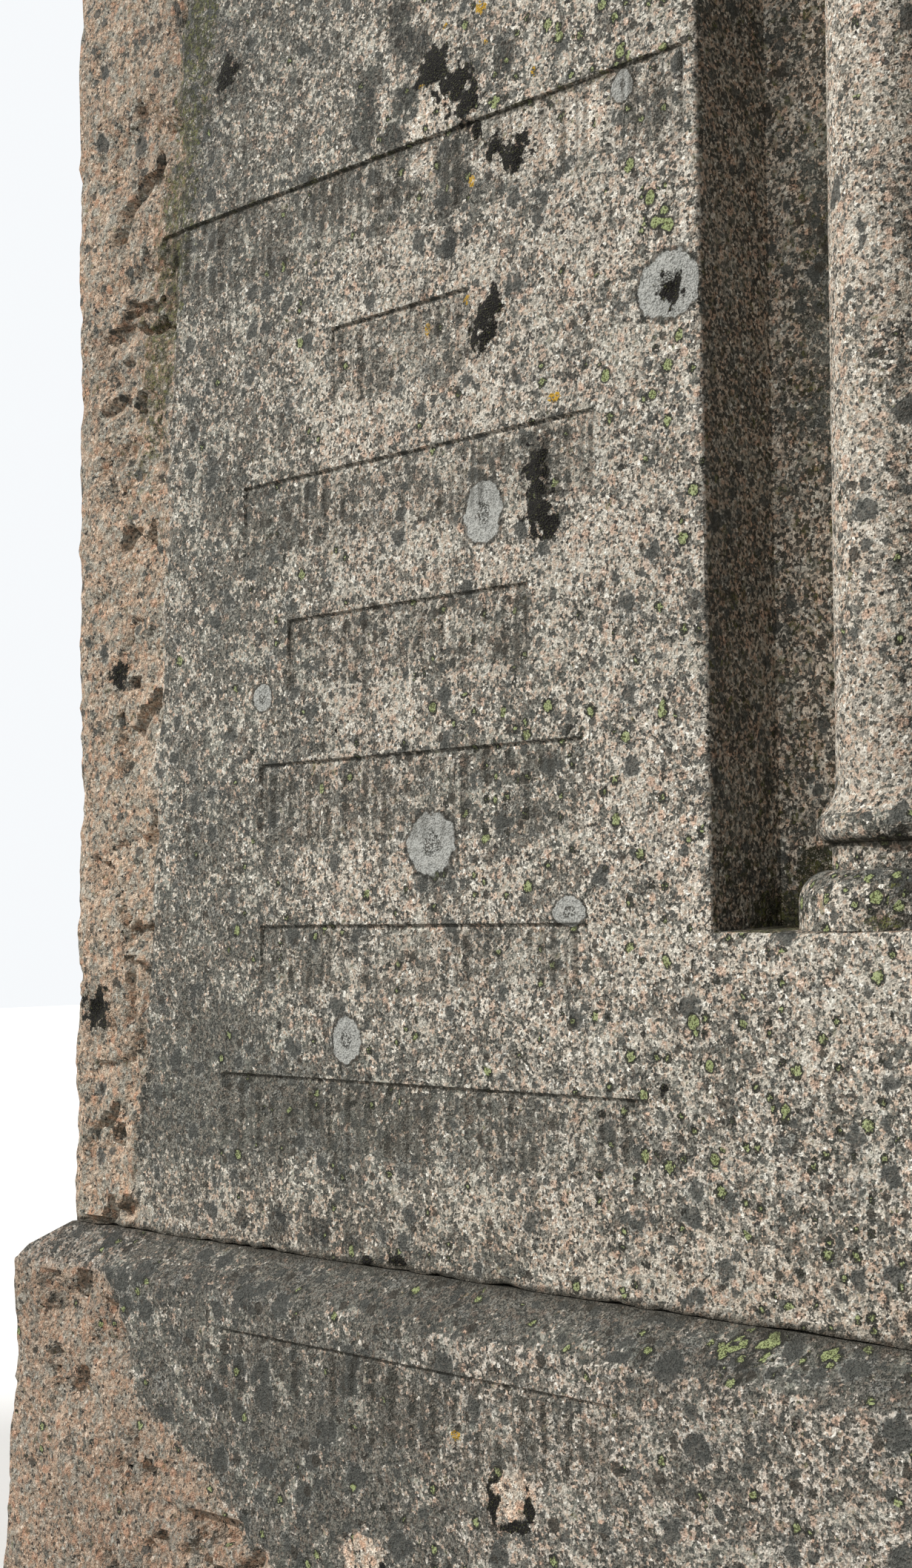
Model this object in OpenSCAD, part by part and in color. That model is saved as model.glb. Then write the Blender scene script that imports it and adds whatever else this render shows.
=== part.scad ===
// Pedestal of a granite obelisk: a plinth course, a square die and a cap course.
// Each of the four like faces has a central recess with an engaged half-round column,
// two dressed fields and, at the corners, rock-faced margins. The front has sunken bands.
// Origin: centre of the plan at ground level. +Z is up and the front looks along -Y.

/* [Plan] */
// Width of the die across two opposite dressed faces
die_w = 1768; // [1600:4:2400]
// Thickness of the facing stones of the die
facing_t = 300; // [220:5:360]
// Width of the rock-faced margin at each corner
margin_w = 120; // [80:5:160]

/* [Heights] */
// Height of the plinth course above the ground
plinth_h = 400; // [320:5:700]
// Height of the die between its two beds
die_h = 1700; // [1300:5:2400]
// Height of the cap course
cap_h = 280; // [180:5:450]

/* [Plinth and cap] */
// How far the plinth and the cap stand out from the dressed faces of the die
course_out = 40; // [20:1:60]
// Height of the sloping weathering on the plinth and on the cap
weathering_h = 28; // [10:1:60]

/* [Recess] */
// Width of the recess in the middle of each face
recess_w = 228; // [190:2:300]
// Depth of the recess at its back wall
recess_d = 82; // [81:1:110]
// Height of the ledge above the bed of the die, and of the head below the upper bed
ledge_h = 268; // [150:2:400]
// How much higher the ledge is at the back wall than at the face
ledge_fall = 4; // [1:0.5:10]

/* [Column] */
// Diameter of the shaft at its foot
shaft_d = 106; // [92:1:108]
// Diameter of the shaft at its top
shaft_top_d = 90; // [76:1:106]
// How far the foot drum stands out from the shaft
drum_out = 27; // [16:1:28]
// Height of the foot drum with its rounded shoulder
drum_h = 42; // [30:1:60]
// Radius of the rounded shoulder of the foot drum
shoulder_r = 22; // [8:1:24]
// How far the short neck stands out from the shaft
neck_out = 3.5; // [1:0.5:6]
// Height of the neck between the foot drum and the ring
neck_h = 18; // [8:1:30]
// How far the ring stands out from the shaft
ring_out = 14; // [10:0.5:18]
// Height of the ring as a full half-round
ring_h = 24; // [16:1:26]
// How much of the half-round the flare of the shaft takes away
ring_cut = 4; // [2:0.5:6]
// Height of the flare at each end of the shaft
flare_h = 26; // [12:1:28]
// Radius of the hollow curve of the flare
flare_r = 36; // [33:1:50]

/* [Sunken bands] */
// Depth of the sunken bands below the dressed face
band_deep = 3; // [2:0.5:10]
// Distance from the recess to the upright line on which the bands are centred
band_axis = 307; // [300:1:316]
// Heights of the upper edges of the seven bands above the bed of the die
band_top = [908, 776, 657, 535, 413, 275, 148]; // [80:1:1200]
// Heights of the seven bands
band_h = [70, 67, 62, 63, 72, 56, 63]; // [40:1:75]
// Widths of the seven bands
band_w = [618, 160, 407, 280, 372, 375, 474]; // [100:1:618]
// How far the middle of each band lies to the left of that line
band_shift = [14, 6, 0, 6, -2, -3, 0]; // [-14:1:14]
// Depth of the upper edge of the band on the plinth below the bed of the die
plinth_band_top = 61; // [40:1:120]
// Height of the band on the plinth
plinth_band_h = 67; // [40:1:120]
// Width of the band on the plinth
plinth_band_w = 430; // [200:1:540]
// How far the middle of the band on the plinth lies to the right of the line of the others
plinth_band_shift = 25; // [-25:1:40]

/* [Rock face] */
// How deep the hollows of the rock-faced margins go in
hollow = 12; // [4:1:18]
// How far the lumps of the rock-faced margins stand out
lump_out = 4; // [0:0.5:6]
// How far the corners are rounded off
corner_loss = 7; // [4:1:20]
// How far the foot of the rock-faced plinth corners bulges out
plinth_bulge = 22; // [0:1:30]
// How far the foot of the rock-faced die corners bulges out
die_bulge = 9; // [0:1:14]
// Height above the foot of a stone over which the bulge dies out
bulge_reach = 280; // [150:10:400]
// Height of one step of the rock face
rock_step = 80; // [70:5:140]

/* [Hidden] */
$fn = 96;

half = die_w / 2;
course_half = half + course_out;
core_half = half - facing_t;
die_z = plinth_h;
cap_z = plinth_h + die_h;
total_h = cap_z + cap_h;
shaft_r = shaft_d / 2;
shaft_top_r = shaft_top_d / 2;
ring_r = ring_h / 2;
moulding_h = drum_h + neck_h + ring_h - ring_cut;
column_h = die_h - 2 * ledge_h;
shaft_h = column_h - 2 * moulding_h;
column_y = recess_d - half;
over = 5;
rim_steps = 7;
fade_share = 1 / 3;
corner_share = 1 / 4;
weathering_reach = 1.5;

FRONT = 0;
RIGHT = 1;
BACK = 2;
LEFT = 3;
STONE = [0.73, 0.64, 0.57];
DARK_STONE = [0.55, 0.51, 0.47];
COLUMN_STONE = [0.76, 0.67, 0.59];
CORE_STONE = [0.50, 0.46, 0.42];

// Turns what is drawn for the front round to another side of the pedestal.
module on_side(side) {
    rotate([0, 0, 90 * side]) children();
}

// Rock face

// Runs along the outer corner: -1 at the draft line on the front, 0 at the corner, 1 at the
// draft line on the left. The outline point, and the direction that faces out of the stone.
function rim(t) = t < 0 ? [-t * margin_w, 0] : [0, t * margin_w];
function outward(t) = [-sin(45 * (1 + t)), -cos(45 * (1 + t))];

// 0 at both draft lines and 1 on most of the margin.
function fade(t) = min(1, (1 - abs(t)) / fade_share);

// 1 at the corner, falling to 0 a quarter of the way to the draft lines.
function near_corner(t) = max(0, 1 - abs(t) / corner_share);

RIM = [for (k = [-rim_steps:rim_steps]) k / rim_steps];

// Filling of a square corner notch with a broken outer surface, its foot at z = 0.
// The bulge is largest at the foot.
module rock_corner(height, seed, bulge = 0) {
    levels = max(3, round(height / rock_step) + 1);
    count = len(RIM);
    loop = count + 1;
    chance = rands(0, 1, levels * count, seed);
    points = [for (i = [0:levels - 1])
        let (z = height * i / (levels - 1),
             swell = bulge * max(0, 1 - z / bulge_reach))
        for (k = [0:count])
            k == count ? [margin_w, margin_w, z]
            : let (t = RIM[k],
                   rough = lump_out - (lump_out + hollow) * chance[i * count + k],
                   p = rim(t) + outward(t) * ((swell + rough) * fade(t) - corner_loss * near_corner(t)))
              [p[0], p[1], z]];
    foot = [[for (k = [count:-1:0]) k]];
    top = [[for (k = [0:count]) (levels - 1) * loop + k]];
    walls = [for (i = [0:levels - 2], k = [0:count])
        let (a = i * loop + k,
             b = i * loop + (k + 1) % loop)
        each [[a, b, b + loop], [a, b + loop, a + loop]]];
    polyhedron(points = points, faces = concat(foot, walls, top));
}

// Stones

// A front facing stone as a plain block with a broken left corner. It runs from the left
// corner to the next stone, which covers the end at the right.
module facing_stone(outer, z, height, seed, bulge) {
    translate([0, 0, z]) {
        difference() {
            translate([-outer, -outer, 0])
                cube([outer + core_half, outer - core_half, height]);
            corner_notch(outer, height);
        }
        translate([-outer, -outer, 0])
            rock_corner(height, seed, bulge);
    }
}

// The square notch at the left corner that the rock face fills.
module corner_notch(outer, height) {
    translate([-outer - over, -outer - over, -over])
        cube([margin_w + over, margin_w + over, height + 2 * over]);
}

// What the weathering takes off a course along the front: all that lies above a slope
// through the arris at the course's face and the foot of the die's face.
module weathering_cut(top_z) {
    run = weathering_reach;
    translate([2 * course_half, 0, top_z])
        rotate([90, 0, -90])
            linear_extrude(4 * course_half)
                polygon([[half + run * course_out, -run * weathering_h],
                         [half + run * course_out, run * weathering_h],
                         [course_half - run * course_out, (run - 1) * weathering_h]]);
}

// The recess with its sloping ledge and sloping head.
module recess_cut() {
    head = die_h - ledge_h;
    translate([recess_w / 2, 0, die_z])
        rotate([90, 0, -90])
            linear_extrude(recess_w)
                polygon([[half, ledge_h],
                         [half + over, ledge_h],
                         [half + over, head],
                         [half, head],
                         [half - recess_d, head - ledge_fall],
                         [half - recess_d, ledge_h + ledge_fall]]);
}

// One sunken band in a front plane at the distance outer, by its middle, upper edge and size.
module band_cut(outer, middle, top_z, width, height) {
    translate([middle - width / 2, -outer - over, top_z - height])
        cube([width, over + band_deep, height]);
}

module die_stone(side) {
    color(STONE)
        difference() {
            facing_stone(half, die_z, die_h, seed = 11 + side, bulge = die_bulge);
            recess_cut();
            if (side == FRONT)
                for (i = [0:len(band_top) - 1])
                    band_cut(half, -recess_w / 2 - band_axis - band_shift[i],
                             die_z + band_top[i], band_w[i], band_h[i]);
        }
}

module plinth_stone(side) {
    color(DARK_STONE)
        difference() {
            facing_stone(course_half, 0, plinth_h, seed = 31 + side, bulge = plinth_bulge);
            weathering_cut(plinth_h);
            on_side(LEFT) weathering_cut(plinth_h);
            if (side == FRONT)
                band_cut(course_half, -recess_w / 2 - band_axis + plinth_band_shift,
                         die_z - plinth_band_top, plinth_band_w, plinth_band_h);
        }
}

// A quarter of the cap course, over the front left corner.
module cap_stone(side) {
    color(STONE)
        difference() {
            translate([0, 0, cap_z]) {
                difference() {
                    translate([-course_half, -course_half, 0])
                        cube([course_half, course_half, cap_h]);
                    corner_notch(course_half, cap_h);
                }
                translate([-course_half, -course_half, 0])
                    rock_corner(cap_h, seed = 51 + side);
            }
            weathering_cut(total_h);
            on_side(LEFT) weathering_cut(total_h);
        }
}

// Column

// Section of the base for a shaft of the given radius: drum, neck and ring.
module moulding_section(r) {
    square([r + drum_out - shoulder_r, drum_h]);
    square([r + drum_out, drum_h - shoulder_r]);
    translate([r + drum_out - shoulder_r, drum_h - shoulder_r])
        intersection() {
            circle(shoulder_r);
            square(shoulder_r);
        }
    square([r + neck_out, drum_h + neck_h + ring_r]);
    intersection() {
        square([r + ring_out, moulding_h]);
        union() {
            translate([0, drum_h + neck_h])
                square([r + ring_out - ring_r, ring_h]);
            translate([r + ring_out - ring_r, drum_h + neck_h + ring_r])
                circle(ring_r);
        }
    }
}

// Half of what the section makes when it is turned about the column, bulging to the front.
module half_turn() {
    rotate([0, 0, 180])
        rotate_extrude(angle = 180)
            intersection() {
                children();
                translate([0, -die_h])
                    square([recess_w / 2, 2 * die_h]);
            }
}

// The stone under the sloping ledge, from which a base is cut to fit.
module ledge_wedge() {
    translate([recess_w, 0, 0])
        rotate([90, 0, -90])
            linear_extrude(2 * recess_w)
                polygon([[-over, -over],
                         [recess_d + over, -over],
                         [recess_d, 0],
                         [0, ledge_fall],
                         [-over, ledge_fall]]);
}

module column_base() {
    color(COLUMN_STONE)
        translate([0, column_y, die_z + ledge_h])
            difference() {
                half_turn() moulding_section(shaft_r);
                ledge_wedge();
            }
}

module column_shaft() {
    color(COLUMN_STONE)
        translate([0, column_y, die_z + ledge_h + moulding_h])
            half_turn()
                difference() {
                    polygon([[0, 0],
                             [shaft_r + ring_out, 0],
                             [shaft_r + ring_out, flare_h],
                             [shaft_r, flare_h],
                             [shaft_top_r, shaft_h - flare_h],
                             [shaft_top_r + ring_out, shaft_h - flare_h],
                             [shaft_top_r + ring_out, shaft_h],
                             [0, shaft_h]]);
                    translate([shaft_r + flare_r, flare_h])
                        circle(flare_r);
                    translate([shaft_top_r + flare_r, shaft_h - flare_h])
                        circle(flare_r);
                }
}

module column_capital() {
    color(COLUMN_STONE)
        translate([0, column_y, die_z + die_h - ledge_h])
            mirror([0, 0, 1])
                difference() {
                    half_turn() moulding_section(shaft_top_r);
                    ledge_wedge();
                }
}

// The masonry that fills the plinth and the die behind the facing stones.
module core() {
    color(CORE_STONE)
        translate([-core_half, -core_half, 0])
            cube([2 * core_half, 2 * core_half, cap_z]);
}

on_side(FRONT) plinth_stone(FRONT);  // front_plinth_stone
on_side(RIGHT) plinth_stone(RIGHT);  // right_plinth_stone
on_side(BACK) plinth_stone(BACK);  // back_plinth_stone
on_side(LEFT) plinth_stone(LEFT);  // left_plinth_stone
on_side(FRONT) die_stone(FRONT);  // front_die_stone
on_side(RIGHT) die_stone(RIGHT);  // right_die_stone
on_side(BACK) die_stone(BACK);  // back_die_stone
on_side(LEFT) die_stone(LEFT);  // left_die_stone
on_side(FRONT) column_base();  // front_column_base
on_side(RIGHT) column_base();  // right_column_base
on_side(BACK) column_base();  // back_column_base
on_side(LEFT) column_base();  // left_column_base
on_side(FRONT) column_shaft();  // front_column_shaft
on_side(RIGHT) column_shaft();  // right_column_shaft
on_side(BACK) column_shaft();  // back_column_shaft
on_side(LEFT) column_shaft();  // left_column_shaft
on_side(FRONT) column_capital();  // front_column_capital
on_side(RIGHT) column_capital();  // right_column_capital
on_side(BACK) column_capital();  // back_column_capital
on_side(LEFT) column_capital();  // left_column_capital
on_side(FRONT) cap_stone(FRONT);  // front_left_cap_stone
on_side(RIGHT) cap_stone(RIGHT);  // front_right_cap_stone
on_side(BACK) cap_stone(BACK);  // back_right_cap_stone
on_side(LEFT) cap_stone(LEFT);  // back_left_cap_stone
core();
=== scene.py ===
# %% [markdown]
# # The pedestal of a granite obelisk
# This lesson dresses a solid model of a weathered granite pedestal. The construction comes
# ready from the frame: plinth stones, die stones, columns and cap stones, at their real size.
# What is left for Blender is what years in the open did to them: broken corners, worn
# arrises, sunken bands that have nearly gone, and a skin of lichen over coarse granite.

# %% Load the frame
import math

import bpy
import numpy as np
from mathutils import Matrix, Vector


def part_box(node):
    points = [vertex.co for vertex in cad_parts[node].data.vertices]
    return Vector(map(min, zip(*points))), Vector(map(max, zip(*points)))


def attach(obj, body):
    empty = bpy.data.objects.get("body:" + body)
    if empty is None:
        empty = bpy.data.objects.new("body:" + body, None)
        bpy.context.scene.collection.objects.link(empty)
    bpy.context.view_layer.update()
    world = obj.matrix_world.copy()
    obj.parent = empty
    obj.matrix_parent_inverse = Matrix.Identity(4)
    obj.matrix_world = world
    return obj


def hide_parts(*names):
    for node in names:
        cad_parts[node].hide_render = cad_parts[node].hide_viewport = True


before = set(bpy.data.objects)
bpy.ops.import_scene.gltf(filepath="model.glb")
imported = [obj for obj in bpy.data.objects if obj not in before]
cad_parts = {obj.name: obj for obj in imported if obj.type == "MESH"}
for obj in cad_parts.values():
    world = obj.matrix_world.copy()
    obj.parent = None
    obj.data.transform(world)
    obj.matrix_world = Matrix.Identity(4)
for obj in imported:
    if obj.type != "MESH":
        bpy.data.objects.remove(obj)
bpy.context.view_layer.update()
print("nodes in the frame:", len(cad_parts))

# %% [markdown]
# ## Sizes
# Every size comes from the frame where a box of a node gives it, so that the dressed stones
# sit exactly where the solid ones are. The few that no box gives are named here, in metres.
# The front looks along -Y, and each other side is the front turned about the middle.

# %% Sizes from the frame
MM = 0.001
SAME = 1e-6
core_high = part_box("core")[1]
base_low, base_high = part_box("front_column_base")
shaft_low, shaft_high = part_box("front_column_shaft")
capital_low, capital_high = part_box("front_column_capital")

CORE = core_high.x
BED_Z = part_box("front_die_stone")[0].z
CAP_Z = core_high.z
TOP_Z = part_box("front_left_cap_stone")[1].z
WALL_Y = base_high.y
LEDGE_Z = base_low.z
HEAD_Z = capital_high.z

RECESS_DEEP = 82 * MM
ARRIS = 114 * MM
LEDGE_RISE = 4 * MM
COURSE_OUT = 40 * MM
SLOPE_H = 28 * MM
HALF = RECESS_DEEP - WALL_Y
COURSE = HALF + COURSE_OUT
SIDES = ["front", "right", "back", "left"]
print(f"half width of the die {HALF:.3f}, of the courses {COURSE:.3f}, ledge at {LEDGE_Z:.3f}")

# %% [markdown]
# ## Camera
# The view is a close one from the right, at eye level with the ledge of the recess. Its angles
# were worked out from where the level edges and the upright edges of the stone meet, and its
# distance from the size of the bands. The camera is placed by three directions: where it looks,
# what is to its right, and what is up.

# %% Camera
CAMERA_FROM_ARRIS = 956 * MM
CAMERA_FROM_FACE = 1200 * MM
CAMERA_OVER_BED = 281 * MM
TURNED_LEFT = math.radians(45.17)
TILTED_UP = math.radians(3.49)
ROLLED = math.radians(0.677)
FOCAL_MM = 50
FRAME_MM = 36

look = Vector((-math.sin(TURNED_LEFT) * math.cos(TILTED_UP),
               math.cos(TURNED_LEFT) * math.cos(TILTED_UP),
               math.sin(TILTED_UP)))
level = Vector((math.cos(TURNED_LEFT), math.sin(TURNED_LEFT), 0))
upright = level.cross(look)
right = level * math.cos(ROLLED) - upright * math.sin(ROLLED)
above = level * math.sin(ROLLED) + upright * math.cos(ROLLED)

lens = bpy.data.cameras.new("view")
lens.lens = FOCAL_MM
lens.sensor_width = FRAME_MM
lens.clip_start = 50 * MM
camera = bpy.data.objects.new("view", lens)
place = Matrix((right, above, -look)).transposed().to_4x4()
place.translation = Vector((CAMERA_FROM_ARRIS - ARRIS, -HALF - CAMERA_FROM_FACE,
                            BED_Z + CAMERA_OVER_BED))
camera.matrix_world = place
bpy.context.scene.collection.objects.link(camera)
bpy.context.scene.camera = camera
print("camera at", [round(v, 3) for v in place.translation])

# %% [markdown]
# ## Random relief
# Broken stone has lumps of every size, from a hand's width down to a grain. Value noise gives
# that: each point of a cubic lattice has a random number, and between the points the numbers
# are blended smoothly. Several such fields, each half as coarse and half as strong as the one
# before, add up to a natural surface. All of it is computed on whole arrays of points.

# %% Noise on whole arrays
def lattice(cell, seed):
    """Random number from 0 to 1 for each whole-number point: the three numbers and the seed
    are multiplied by large odd numbers, combined bit by bit, mixed twice and cut to 32 bits."""
    cut = 0xFFFFFFFF
    h = (cell[..., 0] * 73856093) ^ (cell[..., 1] * 19349663) ^ (cell[..., 2] * 83492791)
    h = (h ^ (seed * 1013904223 + 12345)) & cut
    h = ((h ^ (h >> 15)) * 2246822519) & cut
    h = ((h ^ (h >> 13)) * 3266489917) & cut
    return (h ^ (h >> 16)) / cut


def noise(p, size, seed):
    """Value noise from 0 to 1: the eight lattice numbers round each point, weighted by the
    smooth step 3w^2 - 2w^3 of its place between them along each axis."""
    q = p / size
    low = np.floor(q).astype(np.int64)
    w = q - low
    w = w * w * (3 - 2 * w)
    total = np.zeros(p.shape[:-1])
    for corner in np.ndindex(2, 2, 2):
        c = np.array(corner)
        share = np.prod(np.where(c == 1, w, 1 - w), axis=-1)
        total += share * lattice(low + c, seed)
    return total


def rough(p, size, seed, octaves=4):
    """Sum of noise fields from -1 to 1, each with half the size and half the strength of the
    one before, divided by the sum of the strengths."""
    total = np.zeros(p.shape[:-1])
    strength = 0.0
    for k in range(octaves):
        share = 0.5 ** k
        total += share * (2 * noise(p, size * share, seed + 31 * k) - 1)
        strength += share
    return total / strength


def step(a, b, x):
    """0 below a, 1 above b and 3w^2 - 2w^3 between, where w is the way from a to b."""
    w = np.clip((x - a) / (b - a), 0, 1)
    return w * w * (3 - 2 * w)


def lines(*stretches):
    """Grid lines: each stretch (start, end, spacing) is divided evenly, and all are merged."""
    runs = [np.linspace(a, b, max(2, round(abs(b - a) / gap) + 1)) for a, b, gap in stretches]
    return np.unique(np.round(np.concatenate(runs), 5))


along = np.linspace(0, 1, 2000)[:, None] * np.array([1, 0.3, 0.1])
print(f"noise from {noise(along, 50 * MM, 1).min():.2f} to {noise(along, 50 * MM, 1).max():.2f},"
      f" the sum from {rough(along, 50 * MM, 1).min():.2f} to {rough(along, 50 * MM, 1).max():.2f}")

# %% [markdown]
# ## From grids to a closed stone
# A stone is a set of rectangular grids, one for each visible surface, that share the points of
# their common edges. The shape of the wear depends only on where a point was on the unworn
# stone, so two grids that meet at an edge stay joined. Points are welded by their unworn place.
# Beds and joint faces, which no one sees, are single polygons through the edge points.

# %% Grids of points
WELDS_PER_MM = 20
SHARP_FROM = math.radians(50)


def sheet(xs, ys, zs):
    """Grid of points over two of the three coordinates, the third being one number."""
    axes = [np.atleast_1d(np.asarray(v, float)) for v in (xs, ys, zs)]
    points = np.stack(np.meshgrid(*axes, indexing="ij"), -1)
    flat = [k for k in range(3) if len(axes[k]) == 1][0]
    return np.take(points, 0, axis=flat)


def facing(points, outward, loop):
    """True if the loop of points turns anticlockwise seen from outside: the sum of the cross
    products of neighbouring points is the loop's normal, and lies along the outward
    direction."""
    a = points[loop]
    b = points[np.roll(loop, -1)]
    return np.cross(a, b).sum(0) @ np.array(outward) > 0


def turn(points, side):
    """Points turned about the upright axis to one of the four sides, a quarter turn each:
    x becomes -y and y becomes x."""
    for _ in range(side):
        points = np.stack([-points[..., 1], points[..., 0], points[..., 2]], -1)
    return points


print("a grid of 3 by 2 points is an array", sheet([0, 1, 2], 0, [0, 1]).shape)

# %% Shell builder
def stone(name, sheets, polygons, wear, growth, side, material, node):
    """A closed mesh. sheets are (grid, outward direction), polygons are (points, outward
    direction). wear(points) gives the worn places, growth(points) a dict of vertex numbers."""
    flat = np.concatenate([g.reshape(-1, 3) for g, _ in sheets] + [p for p, _ in polygons])
    keys = np.round(flat / MM * WELDS_PER_MM).astype(np.int64)
    _, first, index = np.unique(keys, axis=0, return_index=True, return_inverse=True)
    index = index.reshape(-1)
    unworn = flat[first]
    faces = []
    start = 0
    for g, outward in sheets:
        n, m = g.shape[:2]
        ids = index[start:start + n * m].reshape(n, m)
        start += n * m
        quads = np.stack([ids[:-1, :-1], ids[1:, :-1], ids[1:, 1:], ids[:-1, 1:]], -1)
        quads = quads.reshape(-1, 4)
        if not facing(unworn, outward, quads[len(quads) // 2]):
            quads = quads[:, ::-1]
        faces += quads.tolist()
    for p, outward in polygons:
        ids = index[start:start + len(p)]
        start += len(p)
        if not facing(unworn, outward, ids):
            ids = ids[::-1]
        faces.append(ids.tolist())
    worn = wear(unworn)
    mesh = bpy.data.meshes.new(name)
    mesh.from_pydata(turn(worn, side).tolist(), [], faces)
    mesh.validate()
    for key, values in growth(unworn).items():
        layer = mesh.attributes.new(key, "FLOAT", "POINT")
        layer.data.foreach_set("value", values.astype(np.float32))
    mesh.shade_smooth()
    mesh.set_sharp_from_angle(angle=SHARP_FROM)
    mesh.materials.append(material)
    piece = bpy.data.objects.new(name, mesh)
    bpy.context.scene.collection.objects.link(piece)
    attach(piece, "root")
    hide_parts(node)
    print(f"{name}: {len(unworn)} points, {sum(len(f) - 2 for f in faces)} triangles")
    return piece


# %% [markdown]
# ## Effects that several materials share
# The stone is a coarse pink granite: cells of 2.4 mm of pink and cream feldspar, grey quartz
# and black mica, of which neighbours of one kind join to larger grains. On it grow crust
# lichens: grey discs, a fine grey film, and small yellow-green spots with a black rim. Each
# effect is a node group with named inputs, built once and used by every stone. The groups only
# give out colours, masks and heights.
#
# Node trees are written with a helper. The first one does the arithmetic.

# %% Helpers for node trees
class Graph:
    """Writes one node tree. Each method adds a node and gives the socket of its result."""

    def __init__(self, tree):
        self.tree = tree

    def put(self, kind, inputs=None, **settings):
        """A node with its settings; inputs maps a socket's name or number to a value or a
        socket."""
        made = self.tree.nodes.new(kind)
        for key, value in settings.items():
            setattr(made, key, value)
        for key, value in (inputs or {}).items():
            if isinstance(value, bpy.types.NodeSocket):
                self.tree.links.new(value, made.inputs[key])
            else:
                made.inputs[key].default_value = value
        return made

    def use(self, group, **inputs):
        """Places a group; underscores in the names of its inputs stand for spaces."""
        named = {key.replace("_", " "): value for key, value in inputs.items()}
        return self.put("ShaderNodeGroup", named, node_tree=group).outputs

    def calc(self, operation, a, b=0.0, c=0.0):
        """One arithmetic step."""
        return self.put("ShaderNodeMath", {0: a, 1: b, 2: c}, operation=operation).outputs[0]

    def times(self, a, *others):
        """The product of all."""
        for b in others:
            a = self.calc("MULTIPLY", a, b)
        return a

    def less(self, a, b):
        """a minus b."""
        return self.calc("SUBTRACT", a, b)

    def line(self, a, slope, start):
        """a times the slope, plus the start."""
        return self.calc("MULTIPLY_ADD", a, slope, start)

    def between(self, value, low, high):
        """0 where value is below low, 1 above high and smooth between."""
        return self.put("ShaderNodeMapRange",
                        {"Value": value, "From Min": low, "From Max": high},
                        interpolation_type="SMOOTHSTEP").outputs["Result"]

    def spread(self, value, low, high, to_low, to_high):
        """value from low to high laid out evenly from to_low to to_high, and cut there."""
        return self.put("ShaderNodeMapRange",
                        {"Value": value, "From Min": low, "From Max": high,
                         "To Min": to_low, "To Max": to_high}).outputs["Result"]

    def give(self, socket, end):
        """Leads a result to an input of the tree's last node."""
        self.tree.links.new(socket, end)


print("between gives", Graph.between.__doc__)

# %% [markdown]
# The second helper adds colours, vectors and textures to the arithmetic. A texture node wants a
# scale, which is how often it repeats. A mason thinks in sizes, so the noise takes the size of
# its lumps in metres and turns it into a scale.

# %% Helpers for colours and textures
class Painter(Graph):
    """A Graph that also mixes colours and makes textures."""

    def mix(self, share, a, b):
        """Colour a where share is 0 and colour b where it is 1."""
        return self.put("ShaderNodeMix", {0: share, 6: a, 7: b}, data_type="RGBA").outputs[2]

    def vector(self, operation, a, b):
        """Sum, difference or product of two vectors or colours, part by part."""
        return self.put("ShaderNodeVectorMath", {0: a, 1: b}, operation=operation).outputs[0]

    def scaled(self, a, by):
        """A vector or a colour times a number."""
        return self.put("ShaderNodeVectorMath", {0: a, "Scale": by},
                        operation="SCALE").outputs[0]

    def noise(self, place, size, detail=2.0):
        """Noise from 0 to 1 with lumps of the size, in metres."""
        return self.put("ShaderNodeTexNoise",
                        {"Vector": place, "Scale": 1 / size, "Detail": detail}).outputs["Fac"]

    def cells(self, place, scale):
        """The nearest of scattered points, so many to a metre: its three random numbers, and
        the distance to it in units of the spacing."""
        made = self.put("ShaderNodeTexVoronoi", {"Vector": place, "Scale": scale})
        numbers = self.put("ShaderNodeSeparateColor", {0: made.outputs["Color"]}).outputs
        return numbers, made.outputs["Distance"]

    def steps(self, value, stops):
        """Colour by steps: each stop (place, red, green, blue) holds up to the next one."""
        made = self.put("ShaderNodeValToRGB", {"Fac": value})
        made.color_ramp.interpolation = "CONSTANT"
        items = made.color_ramp.elements
        items.remove(items[-1])
        for k, (at, *colour) in enumerate(stops):
            item = items[0] if k == 0 else items.new(at)
            item.color = (*colour, 1)
        return made.outputs["Color"]


def new_group(name, given, made):
    """A node group with its sockets. given maps each input to its first value, or to None for
    a vector. made lists the outputs, of which Colour is a colour and the others are numbers."""
    tree = bpy.data.node_groups.new(name, "ShaderNodeTree")
    for key, value in given.items():
        kind = "NodeSocketVector" if value is None else "NodeSocketFloat"
        socket = tree.interface.new_socket(key, in_out="INPUT", socket_type=kind)
        if value is not None:
            socket.default_value = value
    for key in made:
        kind = "NodeSocketColor" if key == "Colour" else "NodeSocketFloat"
        tree.interface.new_socket(key, in_out="OUTPUT", socket_type=kind)
    group = Painter(tree)
    return group, group.put("NodeGroupInput").outputs, group.put("NodeGroupOutput").inputs


print("mix gives", Painter.mix.__doc__)

# %% Granite grain
GRAIN = 2.4 * MM
CRYSTAL = 10 * MM
FLECK = 1.35 * MM
PORE = 2.9 * MM
MINERALS = [
    # share from, then the colour: mica, dark quartz, quartz, salmon, beige, cream, white
    (0.00, 0.055, 0.050, 0.045),
    (0.05, 0.180, 0.168, 0.145),
    (0.13, 0.310, 0.275, 0.232),
    (0.30, 0.432, 0.328, 0.250),
    (0.52, 0.445, 0.388, 0.318),
    (0.79, 0.530, 0.486, 0.415),
    (0.94, 0.690, 0.650, 0.575),
]
SALMON = (0.500, 0.318, 0.225, 1)
CREAM = (0.640, 0.590, 0.510, 1)
PEPPER = (0.036, 0.036, 0.029, 1)


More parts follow.
